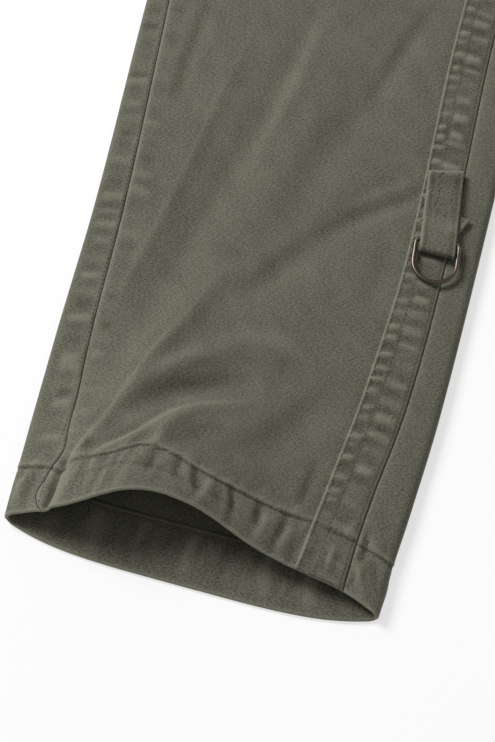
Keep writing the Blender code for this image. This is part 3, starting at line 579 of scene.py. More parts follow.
def blurred(grid, reach):
    """A grid's values averaged over neighbours, to find what stands proud of them."""
    result = grid
    for axis in (0, 1):
        padded = np.concatenate([np.repeat(np.take(result, [0], axis), reach, axis), result,
                                 np.repeat(np.take(result, [-1], axis), reach, axis)], axis)
        total = np.cumsum(padded, axis)
        total = np.insert(total, 0, 0.0, axis)
        size = 2 * reach + 1
        count = result.shape[axis]
        high = np.take(total, range(size, size + count), axis)
        low = np.take(total, range(count), axis)
        result = (high - low) / size
    return result


def add_sheet(name, points, flat, wear, turn, material, thickness=CLOTH):
    """Thin cloth on a grid of points (in millimetres), with its flat places as its UV map."""
    rows, columns = points.shape[:2]
    maker = bmesh.new()
    bmesh.ops.create_grid(maker, x_segments=columns - 1, y_segments=rows - 1, size=1.0)
    if turn < 0.0:
        bmesh.ops.reverse_faces(maker, faces=maker.faces)
    mesh = bpy.data.meshes.new(name)
    maker.to_mesh(mesh)
    maker.free()
    place = np.zeros(len(mesh.vertices) * 3)
    mesh.vertices.foreach_get("co", place)
    place = place.reshape(-1, 3)
    column = np.rint((place[:, 0] + 1.0) / 2.0 * (columns - 1)).astype(int)
    row = np.rint((place[:, 1] + 1.0) / 2.0 * (rows - 1)).astype(int)
    mesh.vertices.foreach_set("co", (points[row, column] * MM).ravel())
    corner = np.zeros(len(mesh.loops), int)
    mesh.loops.foreach_get("vertex_index", corner)
    uv = mesh.uv_layers.new(name="UVMap")
    uv.data.foreach_set("uv", (flat[row, column][corner] * MM).ravel())
    # The per-point tone layer: wear together with painted shade and painted highlights, read by the cloth
    # material.
    wear_and_shading_layer = mesh.attributes.new("wear", "FLOAT", "POINT")
    wear_and_shading_layer.data.foreach_set("value", wear[row, column].astype(np.float32))
    mesh.polygons.foreach_set("use_smooth", np.ones(len(mesh.polygons), bool))
    mesh.materials.append(material)
    mesh.update()
    made = bpy.data.objects.new(name, mesh)
    bpy.context.scene.collection.objects.link(made)
    shell = made.modifiers.new("thickness", "SOLIDIFY")
    shell.thickness = thickness * MM
    shell.offset = -1.0
    return made


def finish_piece(piece, body, slot, *nodes):
    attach(piece, body)
    if nodes:
        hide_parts(*nodes)


def lay_cloth(name, leg, around, along, out, nodes, material, turn=1.0, extra_wear=None, thickness=CLOTH):
    """One cloth piece on the leg's lattice, with its flat places as its UV map."""
    base = base_points(leg, around, along)
    height = relief(leg, around, along)
    normal = outward(base, leg.side)
    points = base + normal * (height + out)[..., None]
    # Colour from the relief: lighter where the cloth stands proud of its surroundings, as wear, and darker in
    # hollows, creases and seam grooves, as painted shade.
    wear = 3.0 * (height - blurred(height, 4))
    if extra_wear is not None:
        wear = wear + extra_wear
    flat = np.stack([around, along], axis=-1)
    piece = add_sheet(name, points, flat, wear, turn * leg.side, material, thickness)
    finish_piece(piece, "trousers", "garment_cloth", *nodes)
    declare(piece, points)
    return piece


def declare(piece, points):
    """Measures the piece's width and length along its own cloth, which are not kept, and starts the list of
    stitch pieces on it.
    """
    width_steps = np.linalg.norm(np.diff(points, axis=1), axis=-1).sum(axis=1)
    length_steps = np.linalg.norm(np.diff(points, axis=0), axis=-1).sum(axis=0)
    width = float(width_steps.max()) * MM
    length = float(length_steps.max()) * MM
    width, length = round(width, 3), round(length, 3)
    pieces_on[piece.name] = []


pieces_on = {}


def even(low, high, step):
    return np.linspace(low, high, max(2, int(round((high - low) / step)) + 1))


def main_rows(fine):
    """Distances from the hem for the panels: close below, wider above."""
    roll = [0.0, 0.10, 0.34, 0.72]
    low = even(HEM_ROLL, 30.0, 1.15 if fine else 2.2)
    middle = even(30.0, 440.0, 1.75 if fine else 3.6)[1:]
    high = even(440.0, CROTCH, 4.5)[1:]
    top = even(CROTCH, WAIST_SEAM, 4.5)[1:]
    return np.concatenate([roll, low, middle, high, top])


def roll_out(along):
    """How far the cloth turns in where it folds over at the hem."""
    low = np.clip(1.0 - along / HEM_ROLL, 0.0, 1.0)
    return -HEM_ROLL * (1.0 - np.sqrt(np.clip(1.0 - low ** 2, 0.0, 1.0)))


def front_around(leg, along, fine):
    """Places across the front for each row, from the inseam to the outseam."""
    row = rows_at(along)
    start = seam_place(leg, along, row) + GAP / 2.0
    end = row.half - row.seam_out - GAP / 2.0
    tape = end - row.tape
    body_cells = 96 if fine else 44
    tape_cells = 20 if fine else 10
    body = lerp(start[:, None], tape[:, None], np.linspace(0.0, 1.0, body_cells + 1)[None, :])
    strip = lerp(tape[:, None], end[:, None], np.linspace(0.0, 1.0, tape_cells + 1)[None, 1:])
    return np.concatenate([body, strip], axis=1)


def back_around(leg, along, fine):
    """Places for each row of the back: outseam, outer fold, underside, inner fold, inseam."""
    row = rows_at(along)
    start = row.half - row.seam_out + GAP / 2.0
    outer = row.half + QUARTER
    inner = 2.0 * row.half - QUARTER
    end = 2.0 * row.half + seam_place(leg, along, row) - GAP / 2.0 * row.folded
    inner = lerp(lerp(outer, end, 0.82), inner, row.folded)
    first = 18 if fine else 9
    second = 74 if fine else 40
    third = 20 if fine else 10
    parts = [
        lerp(start[:, None], outer[:, None], np.linspace(0.0, 1.0, first + 1)[None, :]),
        lerp(outer[:, None], inner[:, None], np.linspace(0.0, 1.0, second + 1)[None, 1:]),
        lerp(inner[:, None], end[:, None], np.linspace(0.0, 1.0, third + 1)[None, 1:]),
    ]
    return np.concatenate(parts, axis=1)


def add_panels(leg, cloth):
    fine = leg is LEFT
    along = main_rows(fine)
    for name, stops in (("front_", front_around), ("back_", back_around)):
        around = stops(leg, along, fine)
        grid = np.repeat(along[:, None], around.shape[1], axis=1)
        row = rows_at(grid)
        inseam = np.mod(around - seam_place(leg, grid, row) + row.half, 2.0 * row.half) - row.half
        # Colour marks: worn, lighter edges at the hem's fold, the inseam and the outseam, a lighter line on
        # the small roll just above the hem stitches, and painted shade in the hem stitch groove.
        rim_wear_and_stitch_shade = 3.4 * np.exp(-(grid / 1.5) ** 2) + 2.4 * np.exp(-(inseam / 1.2) ** 2) * row.folded
        rim_wear_and_stitch_shade = rim_wear_and_stitch_shade + 1.6 * np.exp(-((around - row.half + row.seam_out) / 1.0) ** 2)
        sewn = grid - hem_height(leg, section(row, around)[0], np.full(grid.shape, name == "front_"))
        rim_wear_and_stitch_shade = rim_wear_and_stitch_shade + 0.9 * np.exp(-((sewn - 2.0) / 1.0) ** 2) - 0.8 * np.exp(-(sewn / 0.9) ** 2)
        lay_cloth(name + leg.name + "_cloth", leg, around, grid, roll_out(grid), (name + leg.name,), cloth,
                  extra_wear=rim_wear_and_stitch_shade)


def add_hem(leg, cloth):
    """Turned-up hem inside the leg, rolled at its lower edge to meet the outer cloth."""
    fine = leg is LEFT
    along = np.concatenate([[0.0, 0.10, 0.34, 0.72], even(HEM_ROLL, HEM_DEPTH, 1.2)])
    around = np.concatenate([front_around(leg, along, fine), back_around(leg, along, fine)[:, 1:]], axis=1)
    grid = np.repeat(along[:, None], around.shape[1], axis=1)
    out = -2.0 * HEM_ROLL - roll_out(grid)
    turned = (0.6 * puckers(around, grid - 16.0, 17.0, 13.0, 3.4, 0.2, 51.0)
              + 0.4 * puckers(around, grid - 20.0, 7.4, 8.0, 2.0, -0.2, 57.0))
    fade = ease(grid / 6.0)
    # Colour on the hem's inside: a worn, lighter folded bottom edge; a lighter band on the facing's top edge,
    # worn and a painted highlight; painted shade in the facing's stitch groove; and the puckers painted
    # lighter and darker as painted shading, a little darker overall, since the dim light inside barely shows
    # their relief.
    wear = (3.0 * np.exp(-(grid / 1.2) ** 2) + 4.0 * np.exp(-((grid - HEM_DEPTH) / 1.8) ** 2)
            - 1.2 * np.exp(-((grid - HEM_DEPTH + 2.8) / 0.8) ** 2) + (3.0 * turned - 0.5) * fade)
    lay_cloth("hem_" + leg.name + "_cloth", leg, around, grid,
              out - 0.8 * (turned + 0.5) * fade * ease((HEM_DEPTH - grid) / 5.0), ("hem_" + leg.name,), cloth,
              turn=-1.0, extra_wear=wear, thickness=0.8)


def add_tape(leg, cloth):
    fine = leg is LEFT
    along = even(0.0, TAPE_TOP - GAP, 1.6 if fine else 3.2)
    row = rows_at(along)
    end = row.half - row.seam_out - GAP / 2.0
    start = end - row.tape
    cells = 27 if fine else 14
    around = lerp(start[:, None], end[:, None], np.linspace(0.0, 1.0, cells + 1)[None, :])
    grid = np.repeat(along[:, None], around.shape[1], axis=1)
    edge = np.minimum(around - start[:, None], end[:, None] - around)
    rolled = 0.3 * (1.0 - ease(edge / 1.2))
    # Colour: worn, lighter edges, and painted shade along the edge stitching, about 2 mm in from each edge.
    wear = 3.6 * np.exp(-(edge / 1.0) ** 2) - 1.4 * np.exp(-((edge - 2.2) / 0.8) ** 2)
    lay_cloth("tape_" + leg.name + "_cloth", leg, around, grid, GAP + STRIP - rolled, ("tape_" + leg.name,),
              cloth,
              extra_wear=wear, thickness=STRIP)


def tab_right_edge(along):
    row = rows_at(along)
    lean = (TAB_TOP - along) / (TAB_TOP - TAB_LOW)
    return row.half - row.seam_out - TAB_INSET + TAB_SKEW * lean


# Stitches on the tab: columns as inset from its outer edge at both ends, low and
# high, and bar tacks as insets and height
TAB_SEWN_FROM = 262.0
TAB_COLUMNS = ((15.0, 14.6, TAB_SEWN_FROM, 289.0), (6.4, 6.2, TAB_SEWN_FROM, 289.0),
               (1.8, 1.6, TAB_SEWN_FROM, 289.0),
               (14.2, 14.6, 238.0, 257.0))
TAB_BARS = ((15.0, 9.0, 263.6), (16.0, 7.4, 259.0), (15.6, 8.4, 261.2))

# Rows of the tab's under layer, and how far its end sticks out on each side
TAB_UNDER_ROWS = (TAB_TOP, 280.0, 270.0, TAB_SEWN_FROM, 260.4, 259.6, 257.0, 254.0, 251.5, 250.0,
                  248.5, 246.0)
TAB_TAIL = ((246.0, 248.0, 259.6, 260.4), (0.0, 1.2, 7.0, 0.0))
TAB_STUB = ((248.5, 250.0, 253.0, 254.0), (0.0, 3.2, 3.8, 0.0))


def tab_line():
    """Mid-line of the folded tab as (along, out) points: under layer, bend, upper layer."""
    under = 2.0 * GAP + 1.5 * WALL
    over = under + WALL + GAP
    bend = 0.5 * WIRE + GAP + 0.5 * WALL
    centre = under + bend
    turn = np.linspace(0.0, math.pi, 13)
    bend_up = TAB_LOW + 0.5 * WALL + bend
    around_bar = np.stack([bend_up - bend * np.sin(turn), centre - bend * np.cos(turn)], axis=1)
    start = np.stack([TAB_UNDER_ROWS, np.full(len(TAB_UNDER_ROWS), under)], axis=1)
    rise = np.linspace(0.0, 1.0, 9)[1:]
    slope = np.stack([lerp(bend_up, 258.0, rise), lerp(centre + bend, over, ease(rise))], axis=1)
    finish = np.stack([np.linspace(258.0, TAB_TOP, 22)[1:], np.full(21, over)], axis=1)
    return np.concatenate([start, around_bar, slope, finish])


def add_tab(leg, cloth):
    """Strip folded over the ring's bar and sewn down on the tape."""
    line = tab_line()
    cells = 22
    way = np.gradient(line, axis=0)
    way /= np.linalg.norm(way, axis=1, keepdims=True)
    place = line + np.stack([-way[:, 1], way[:, 0]], axis=1) * 0.45
    along = np.repeat(np.clip(place[:, 0], 200.0, 330.0)[:, None], cells + 1, axis=1)
    out = np.repeat(place[:, 1][:, None], cells + 1, axis=1)
    right = tab_right_edge(np.clip(along, TAB_LOW, TAB_TOP))
    around = right - TAB_WIDTH * np.linspace(0.0, 1.0, cells + 1)[None, :]
    upper = np.repeat((np.arange(len(line)) > 24)[:, None], cells + 1, axis=1)
    edge = np.minimum(right - around, around - right + TAB_WIDTH)
    share = np.linspace(0.0, 1.0, cells + 1)[None, :]
    slanted = (TAB_TOP - TAB_SLANT * share - TAB_SEWN_FROM) / (TAB_TOP - TAB_SEWN_FROM)
    along = np.where(along > TAB_SEWN_FROM, TAB_SEWN_FROM + (along - TAB_SEWN_FROM) * slanted, along)
    below = np.where(np.arange(len(line)) < len(TAB_UNDER_ROWS), 1.0, 0.0)[:, None]
    tail = np.interp(place[:, 0], *TAB_TAIL)[:, None] * below
    stub = np.interp(place[:, 0], *TAB_STUB)[:, None] * below
    around = around + tail * ease((0.4 - share) / 0.4) - stub * ease((share - 0.6) / 0.4)
    near_edge = ease((9.0 - (right - around)) / 6.0)
    buckled = 0.9 * np.exp(-((along - 246.0 - 0.55 * (around - right + 9.0)) / 2.6) ** 2) * near_edge
    points, _ = spot(leg, around, along,
                     out + np.where(upper, buckled - 0.4 * (1.0 - ease(edge / 2.0)), 0.0), 0.0)
    # Colour on the tab: lighter edges, worn and a painted highlight; a darker band 3 mm in from each edge; a
    # lighter band at the rolled top edge, worn and a painted highlight, with a darker band 8 mm below it;
    # lighter on the buckle's crest and in a band near 252 mm along.
    wear = 3.4 * np.exp(-(edge / 1.1) ** 2) - 1.1 * np.exp(-((edge - 3.0) / 1.4) ** 2)
    wear = (wear + 3.0 * np.exp(-((place[:, :1] - TAB_TOP) / 2.0) ** 2)
            - 0.8 * np.exp(-((place[:, :1] - TAB_TOP + 8.0) / 5.0) ** 2))
    wear = wear + 1.3 * np.where(upper, buckled, 0.0) + 0.5 * np.exp(-((place[:, :1] - 252.0) / 6.0) ** 2)
    length = np.concatenate([[0.0], np.cumsum(np.linalg.norm(np.diff(line, axis=0), axis=1))])
    flat = np.stack([around, np.repeat(length[:, None], cells + 1, axis=1)], axis=-1)
    tab = add_sheet("tab_" + leg.name + "_cloth", points, flat, wear, -leg.side, cloth, 0.9)
    finish_piece(tab, "trousers", "garment_cloth", "tab_" + leg.name)
    declare(tab, points)


def ring_place(leg):
    """Place of the ring's bar: bar along local X, bow towards local -Y, up is local Z."""
    lift = 2.0 * GAP + 2.0 * WALL + GAP + 0.5 * WIRE
    rest = WALL + 3.0 * GAP + 0.5 * WIRE
    low_up = RING_BAR_UP - RING_LENGTH
    near = 0.6

    def skin(around, along, out):
        around, along = np.array([around]), np.array([along])
        base = base_points(leg, around, along)
        sideways = base_points(leg, around + near, along) - base_points(leg, around - near, along)
        upwards = base_points(leg, around, along + near) - base_points(leg, around, along - near)
        normal = np.cross(sideways, upwards)
        normal *= leg.side / np.linalg.norm(normal)
        return Vector((base + normal * out)[0] * MM), Vector(normal[0])

    middle = float(tab_right_edge(RING_BAR_UP)) - TAB_WIDTH / 2.0
    low_middle = float(tab_right_edge(low_up)) - TAB_WIDTH / 2.0
    bar, up = skin(middle, RING_BAR_UP, lift)
    down = (skin(low_middle, low_up, rest)[0] - bar).normalized()
    bar_way = (-down).cross(up).normalized()
    up = bar_way.cross(-down)
    return Matrix.Translation(bar) @ Matrix((bar_way, -down, up)).transposed().to_4x4()


def ring_outline():
    """Centre line of the wire: straight bar, round corners, long round bow."""
    corner = np.linspace(0.0, 0.5 * math.pi, 8)
    bow = np.linspace(0.0, math.pi, 40)
    low = RING_BOW - RING_LENGTH
    right = np.stack([RING_HALF_BAR + RING_CORNER * np.sin(corner), RING_CORNER * (np.cos(corner) - 1.0)],
                     axis=1)
    round_end = np.stack([RING_BOW * np.cos(bow), low - RING_BOW * np.sin(bow)], axis=1)
    left = right[::-1] * (-1.0, 1.0)
    return np.concatenate([right, round_end, left])


def add_ring(leg, metal):
    """Metal D-ring on a body of its own, placed by its straight bar."""
    curve = bpy.data.curves.new("ring_line", "CURVE")
    curve.dimensions = "3D"
    curve.bevel_depth = 0.5 * WIRE * MM
    curve.bevel_resolution = 5
    spline = curve.splines.new("POLY")
    line = ring_outline()
    spline.points.add(len(line) - 1)
    for point, (across, along) in zip(spline.points, line):
        point.co = (across * MM, along * MM, 0.0, 1.0)
    spline.use_cyclic_u = True
    holder = bpy.data.objects.new("ring_line", curve)
    bpy.context.scene.collection.objects.link(holder)
    bpy.context.view_layer.update()
    mesh = bpy.data.meshes.new_from_object(holder.evaluated_get(bpy.context.evaluated_depsgraph_get()))
    bpy.data.objects.remove(holder)
    mesh.transform(ring_place(leg))
    mesh.name = "ring_" + leg.name + "_wire"
    mesh.polygons.foreach_set("use_smooth", np.ones(len(mesh.polygons), bool))
    mesh.materials.clear()
    mesh.materials.append(metal)
    ring = bpy.data.objects.new("ring_" + leg.name + "_wire", mesh)
    bpy.context.scene.collection.objects.link(ring)
    finish_piece(ring, "ring_" + leg.name, "ring_metal", "d_ring_" + leg.name)


def pocket_edges(along):
    row = rows_at(along)
    side = row.half - QUARTER - 1.0
    return side - POCKET_WIDTH, side


def puff(across_share, along):
    return POCKET_PUFF * np.sin(math.pi * across_share) * ease((along - POCKET_LOW) / 30.0)


def add_cargo_pocket(leg, cloth, resin, thread):
    """Patch pocket on the thigh, its flap, and the flap's button."""
    along = even(POCKET_LOW, POCKET_TOP, 4.0)
    inner, side = pocket_edges(along)
    share = np.linspace(0.0, 1.0, 36)[None, :]
    around = lerp(inner[:, None], side[:, None], share)
    grid = np.repeat(along[:, None], around.shape[1], axis=1)
    edge = np.minimum(np.minimum(around - inner[:, None], side[:, None] - around), grid - POCKET_LOW)
    wear = 0.6 * np.exp(-(edge / 2.5) ** 2)
    out = GAP + CLOTH + puff(np.repeat(share, len(along), axis=0), grid)
    name = "cargo_pocket_" + leg.name
    lay_cloth(name + "_cloth", leg, around, grid, out, (name,), cloth, extra_wear=wear, thickness=0.9)
    along = even(FLAP_LOW, FLAP_TOP, 2.8)
    inner, side = pocket_edges(along)
    around = lerp(inner[:, None], side[:, None], share)
    grid = np.repeat(along[:, None], around.shape[1], axis=1)
    on_pocket = 1.0 - ease((grid - POCKET_TOP - 1.0) / 12.0)
    out = 2.0 * GAP + on_pocket * (WALL + GAP + POCKET_PUFF * np.sin(math.pi * share)) + CLOTH
    edge = np.minimum(np.minimum(around - inner[:, None], side[:, None] - around), grid - FLAP_LOW)
    wear = 0.7 * np.exp(-(edge / 2.5) ** 2)
    name = "cargo_flap_" + leg.name
    lay_cloth(name + "_cloth", leg, around, grid, out, (name,), cloth, extra_wear=wear, thickness=0.9)
    inner, side = pocket_edges(FLAP_BUTTON_UP)
    centre = float(lerp(inner, side, 0.5))
    add_button("flap_button_" + leg.name, leg, centre, FLAP_BUTTON_UP, 4.0 * GAP + 2.0 * WALL + POCKET_PUFF,
               resin, thread)


def add_button(name, leg, around, along, out, material, thread):
    """Round button with a rim and a dished middle, sewn on with two bars of thread."""
    maker = bmesh.new()
    radius = BUTTON_RADIUS
    height = BUTTON_HEIGHT
    profile = ((0.0, 0.0), (0.86, 0.0), (1.0, 0.3), (1.0, 0.72), (0.94, 0.95), (0.82, 1.0), (0.70, 0.86),
               (0.62, 0.72), (0.0, 0.68))
    verts = [maker.verts.new((across * radius * MM, 0.0, up * height * MM)) for across, up in profile]
    edges = [maker.edges.new(pair) for pair in zip(verts, verts[1:])]
    bmesh.ops.spin(maker, geom=verts + edges, cent=(0.0, 0.0, 0.0), axis=(0.0, 0.0, 1.0), angle=2.0 * math.pi,
                   steps=40, use_merge=True)
    bmesh.ops.remove_doubles(maker, verts=maker.verts, dist=1e-6)
    bmesh.ops.recalc_face_normals(maker, faces=maker.faces)
    centre, normal = spot(leg, np.array([around]), np.array([along]), np.array([out]))
    way = Vector(normal[0])
    turn = Matrix.Translation(Vector(centre[0] * MM)) @ way.to_track_quat("Z", "Y").to_matrix().to_4x4()
    bmesh.ops.transform(maker, matrix=turn, verts=maker.verts)
    mesh = bpy.data.meshes.new(name + "_disc")
    maker.to_mesh(mesh)
    maker.free()
    mesh.polygons.foreach_set("use_smooth", np.ones(len(mesh.polygons), bool))
    mesh.materials.append(material)
    button = bpy.data.objects.new(name + "_disc", mesh)
    bpy.context.scene.collection.objects.link(button)
    finish_piece(button, "trousers", "button_resin", name)
    for shift in BUTTON_BARS:
        across = np.array([shift, shift])
        along_bar = np.array([-BUTTON_BARS[1], BUTTON_BARS[1]])
        starts, middles, ends = (
            np.array([(turn @ (Vector((at_across, at_along + step, height * 0.8)) * MM)) / MM
                      for at_across, at_along in zip(across, along_bar * 0.5)])
            for step in (-0.9, 0.0, 0.9)
        )
        STITCHES.setdefault("stitches_buttons", []).append((starts, middles, ends, np.array([way, way])))
    STITCH_OWNERS["stitches_buttons"] = (thread, "waistband_cloth")


def add_strip(name, leg, edges, rows, cells, out, cloth, nodes):
    """Strip on a panel: edges(along) gives its two long edges."""
    near, far = edges(rows)
    share = np.linspace(0.0, 1.0, cells + 1)[None, :]
    around = lerp(near[:, None], far[:, None], share)
    grid = np.repeat(rows[:, None], cells + 1, axis=1)
    edge = np.minimum(np.abs(around - near[:, None]), np.abs(far[:, None] - around))
    edge = np.minimum(edge, grid - rows[0])
    wear = 0.6 * np.exp(-(edge / 1.6) ** 2)
    lay_cloth(name, leg, around, grid, out + CLOTH - 0.4 * (1.0 - ease(edge / 1.8)), nodes, cloth,
              extra_wear=wear, thickness=0.9)


def add_fly(cloth):
    rows = even(FLY_LOW, WAIST_SEAM - GAP, 3.0)

    def edges(along):
        width = lerp(0.55, 1.0, ease((along - FLY_LOW) / FLY_WIDTH)) * FLY_WIDTH
        return np.full(along.shape, 1.0), width

    add_strip("fly_cloth", LEFT, edges, rows, 14, GAP, cloth, ("fly",))


def add_hand_pocket(leg, cloth):
    rows = even(WELT_LOW, WELT_HIGH, 2.5)

    def edges(along):
        share = (along - WELT_LOW) / (WELT_HIGH - WELT_LOW)
        side = rows_at(along).half - lerp(WELT_LOW_IN, WELT_HIGH_IN, share)
        return side - WELT_WIDTH, side

    name = "hand_pocket_" + leg.name
    add_strip(name + "_cloth", leg, edges, rows, 8, GAP, cloth, (name,))


def waist_grid(along):
    """Points all round the waist at some heights, from the lap's end, with the lap's share."""
    half = float(rows_at(np.array([WAIST_SEAM])).half[0])
    cells = 110
    share = np.linspace(0.0, 1.0, cells)
    lap = np.linspace(LAP, 2.0, 10)
    parts = []
    grid = np.repeat(along[:, None], 1, axis=1)
    whole = 2.0 * rows_at(along).half[:, None]
    first = np.repeat(lap[None, :], len(along), axis=0)
    second = 4.0 + (whole - 5.0) * share[None, :]
    third = 1.0 + (whole - 3.0) * (1.0 - share[None, :]) + 1.0
    for leg, around in ((RIGHT, first), (LEFT, second), (RIGHT, third)):
        parts.append(base_points(leg, around, np.repeat(grid, around.shape[1], axis=1)))
    lap_share = np.concatenate([np.ones(10), 1.0 - ease(share * cells * half / (cells * 12.0)),
                                np.zeros(cells)])
    return np.concatenate(parts, axis=1), lap_share


def add_waistband(cloth):
    along = even(WAIST_SEAM + GAP, WAIST_TOP, 2.4)
    base, lap = waist_grid(along)
    normal = outward(base, 1.0)
    edge = np.minimum(along - along[0], along[-1] - along)[:, None]
    run = np.linspace(0.0, 880.0, base.shape[1])[None, :]
    grid_run = np.repeat(run, len(along), axis=0)
    grid_along = np.repeat(along[:, None], base.shape[1], axis=1)
    ripple = 0.5 * puckers(grid_run, grid_along - 1022.0, 9.5, 7.0, 3.0, 0.3, 5.0)
    ripple += 0.4 * puckers(grid_run, grid_along - 1052.0, 8.5, 6.0, 3.0, -0.3, 25.0)
    ripple -= 0.4 * (groove(grid_along - 1020.0, 1.2) + groove(grid_along - 1054.0, 1.2))
    out = lap[None, :] * (WALL + GAP) + ripple
    points = base + normal * out[..., None]
    points[..., 2] = np.maximum(points[..., 2], 0.02)
    # Colour: worn, lighter edges; lighter on the ripples' crests and painted shade in their hollows and along
    # the stitch grooves.
    wear = 0.8 * np.exp(-(edge / 1.5) ** 2) + 1.2 * (ripple - blurred(ripple, 3))
    flat = np.stack([grid_run, grid_along], axis=-1)
    band = add_sheet("waistband_cloth", points, flat, wear, 1.0, cloth, 1.1)
    finish_piece(band, "trousers", "garment_cloth", "waistband")
    declare(band, points)


def add_belt_loops(cloth):
    start = LOOP_SPREAD - LOOP_WIDTH / 2.0
    end = LOOP_SPREAD + LOOP_WIDTH / 2.0
    rows = even(WAIST_SEAM - LOOP_UNDERLAP, WAIST_TOP - 1.0, 2.0)
    for leg in (LEFT, RIGHT):
        def front(along):
            return np.full(along.shape, start), np.full(along.shape, end)

        def behind(along):
            whole = 2.0 * rows_at(along).half
            return whole - end, whole - start

        add_strip("belt_loop_front_" + leg.name + "_cloth", leg, front, rows, 6, GAP, cloth,
                  ("belt_loop_front_" + leg.name,))
        add_strip("belt_loop_back_" + leg.name + "_cloth", leg, behind, rows, 6, GAP, cloth,
                  ("belt_loop_back_" + leg.name,))
    whole = 2.0 * rows_at(rows).half[:, None]
    centre = LOOP_WIDTH / 2.0 + QUARTER - FOLD_RADIUS
    share = np.linspace(0.0, 1.0, 4)[None, :]
    grid = np.repeat(rows[:, None], 4, axis=1)
    left = base_points(LEFT, whole - centre * (1.0 - share), grid)
    right = base_points(RIGHT, whole - centre * share, grid)
    base = np.concatenate([left, right], axis=1)
    normal = outward(base, 1.0)
    points = base + normal * (GAP + CLOTH)
    points[..., 2] = np.maximum(points[..., 2], 0.02)
    flat = np.stack([np.repeat(np.linspace(0.0, 10.0, 8)[None, :], len(rows), axis=0),
                     np.repeat(rows[:, None], 8, axis=1)], axis=-1)
    loop = add_sheet("belt_loop_back_centre_cloth", points, flat, np.zeros(points.shape[:2]), 1.0, cloth, 0.9)
    finish_piece(loop, "trousers", "garment_cloth", "belt_loop_back_centre")
    declare(loop, points)


def add_stitches(name, leg, around, along, out, thread, on, pitch=STITCH_PITCH, length=STITCH_LENGTH):
    """Row of stitches along a line of (around, along) places on the cloth."""
    around = np.asarray(around, float)
    along = np.asarray(along, float)
    dense = np.linspace(0.0, len(around) - 1.0, 16 * len(around))
    knots = np.arange(len(around))
    line_around = np.interp(dense, knots, around)
    line_along = np.interp(dense, knots, along)
    line = base_points(leg, line_around, line_along)
    run = np.concatenate([[0.0], np.cumsum(np.linalg.norm(np.diff(line, axis=0), axis=1))])
    count = max(1, int(run[-1] / pitch))
    centres = (np.arange(count) + 0.5) * run[-1] / count
    places = [np.interp(centres + shift, run, line_around) for shift in (-0.5 * length, 0.0, 0.5 * length)]
    heights = [np.interp(centres + shift, run, line_along) for shift in (-0.5 * length, 0.0, 0.5 * length)]
    starts, _ = spot(leg, places[0], heights[0], np.full(count, out - 0.12))
    middles, normals = spot(leg, places[1], heights[1], np.full(count, out + 0.10))
    ends, _ = spot(leg, places[2], heights[2], np.full(count, out - 0.12))
    STITCHES.setdefault(name, []).append((starts, middles, ends, normals))
    STITCH_OWNERS[name] = (thread, on)


STITCHES = {}
STITCH_OWNERS = {}


def build_stitches():
    """One object for each group of rows, made of small rounded stitches."""
    for name, rows in STITCHES.items():
        thread, on = STITCH_OWNERS[name]
        maker = bmesh.new()
        for starts, middles, ends, normals in rows:
            for start, middle, end, normal in zip(starts, middles, ends, normals):
                way = Vector(end - start)
                length = way.length
                way.normalize()
                up = Vector(normal)
                across = way.cross(up).normalized()
                up = across.cross(way)
                turn = Matrix((way * 0.5 * length * MM, across * 0.5 * STITCH_WIDTH * MM,
                               up * 0.5 * STITCH_HEIGHT * MM)).transposed()
                place = Matrix.Translation(Vector(middle * MM)) @ turn.to_4x4()
                bmesh.ops.create_icosphere(maker, subdivisions=1, radius=1.0, matrix=place)
        bmesh.ops.recalc_face_normals(maker, faces=maker.faces)
        mesh = bpy.data.meshes.new(name)
        maker.to_mesh(mesh)
        maker.free()
        mesh.polygons.foreach_set("use_smooth", np.ones(len(mesh.polygons), bool))
        mesh.materials.append(thread)
        made = bpy.data.objects.new(name, mesh)
        bpy.context.scene.collection.objects.link(made)
        finish_piece(made, "trousers", "thread")
        pieces_on[on].append(made)


def sew_tab(leg, thread):
    """The tab's columns of stitches and the bar tacks across its middle."""
    name = "stitches_tab_" + leg.name
    on = "tab_" + leg.name + "_cloth"
    over = tab_line()[-1][1] + 0.45
    for start, end, low, high in TAB_COLUMNS:
        rows = np.linspace(low, high, 6)
        add_stitches(name, leg, tab_right_edge(rows) - np.linspace(start, end, 6), rows, over, thread, on)
    for start, end, up in TAB_BARS:
        rows = np.full(4, up)
        places = tab_right_edge(rows) - np.linspace(start, end, 4)
        add_stitches(name, leg, places, rows, over + 0.1, thread, on)


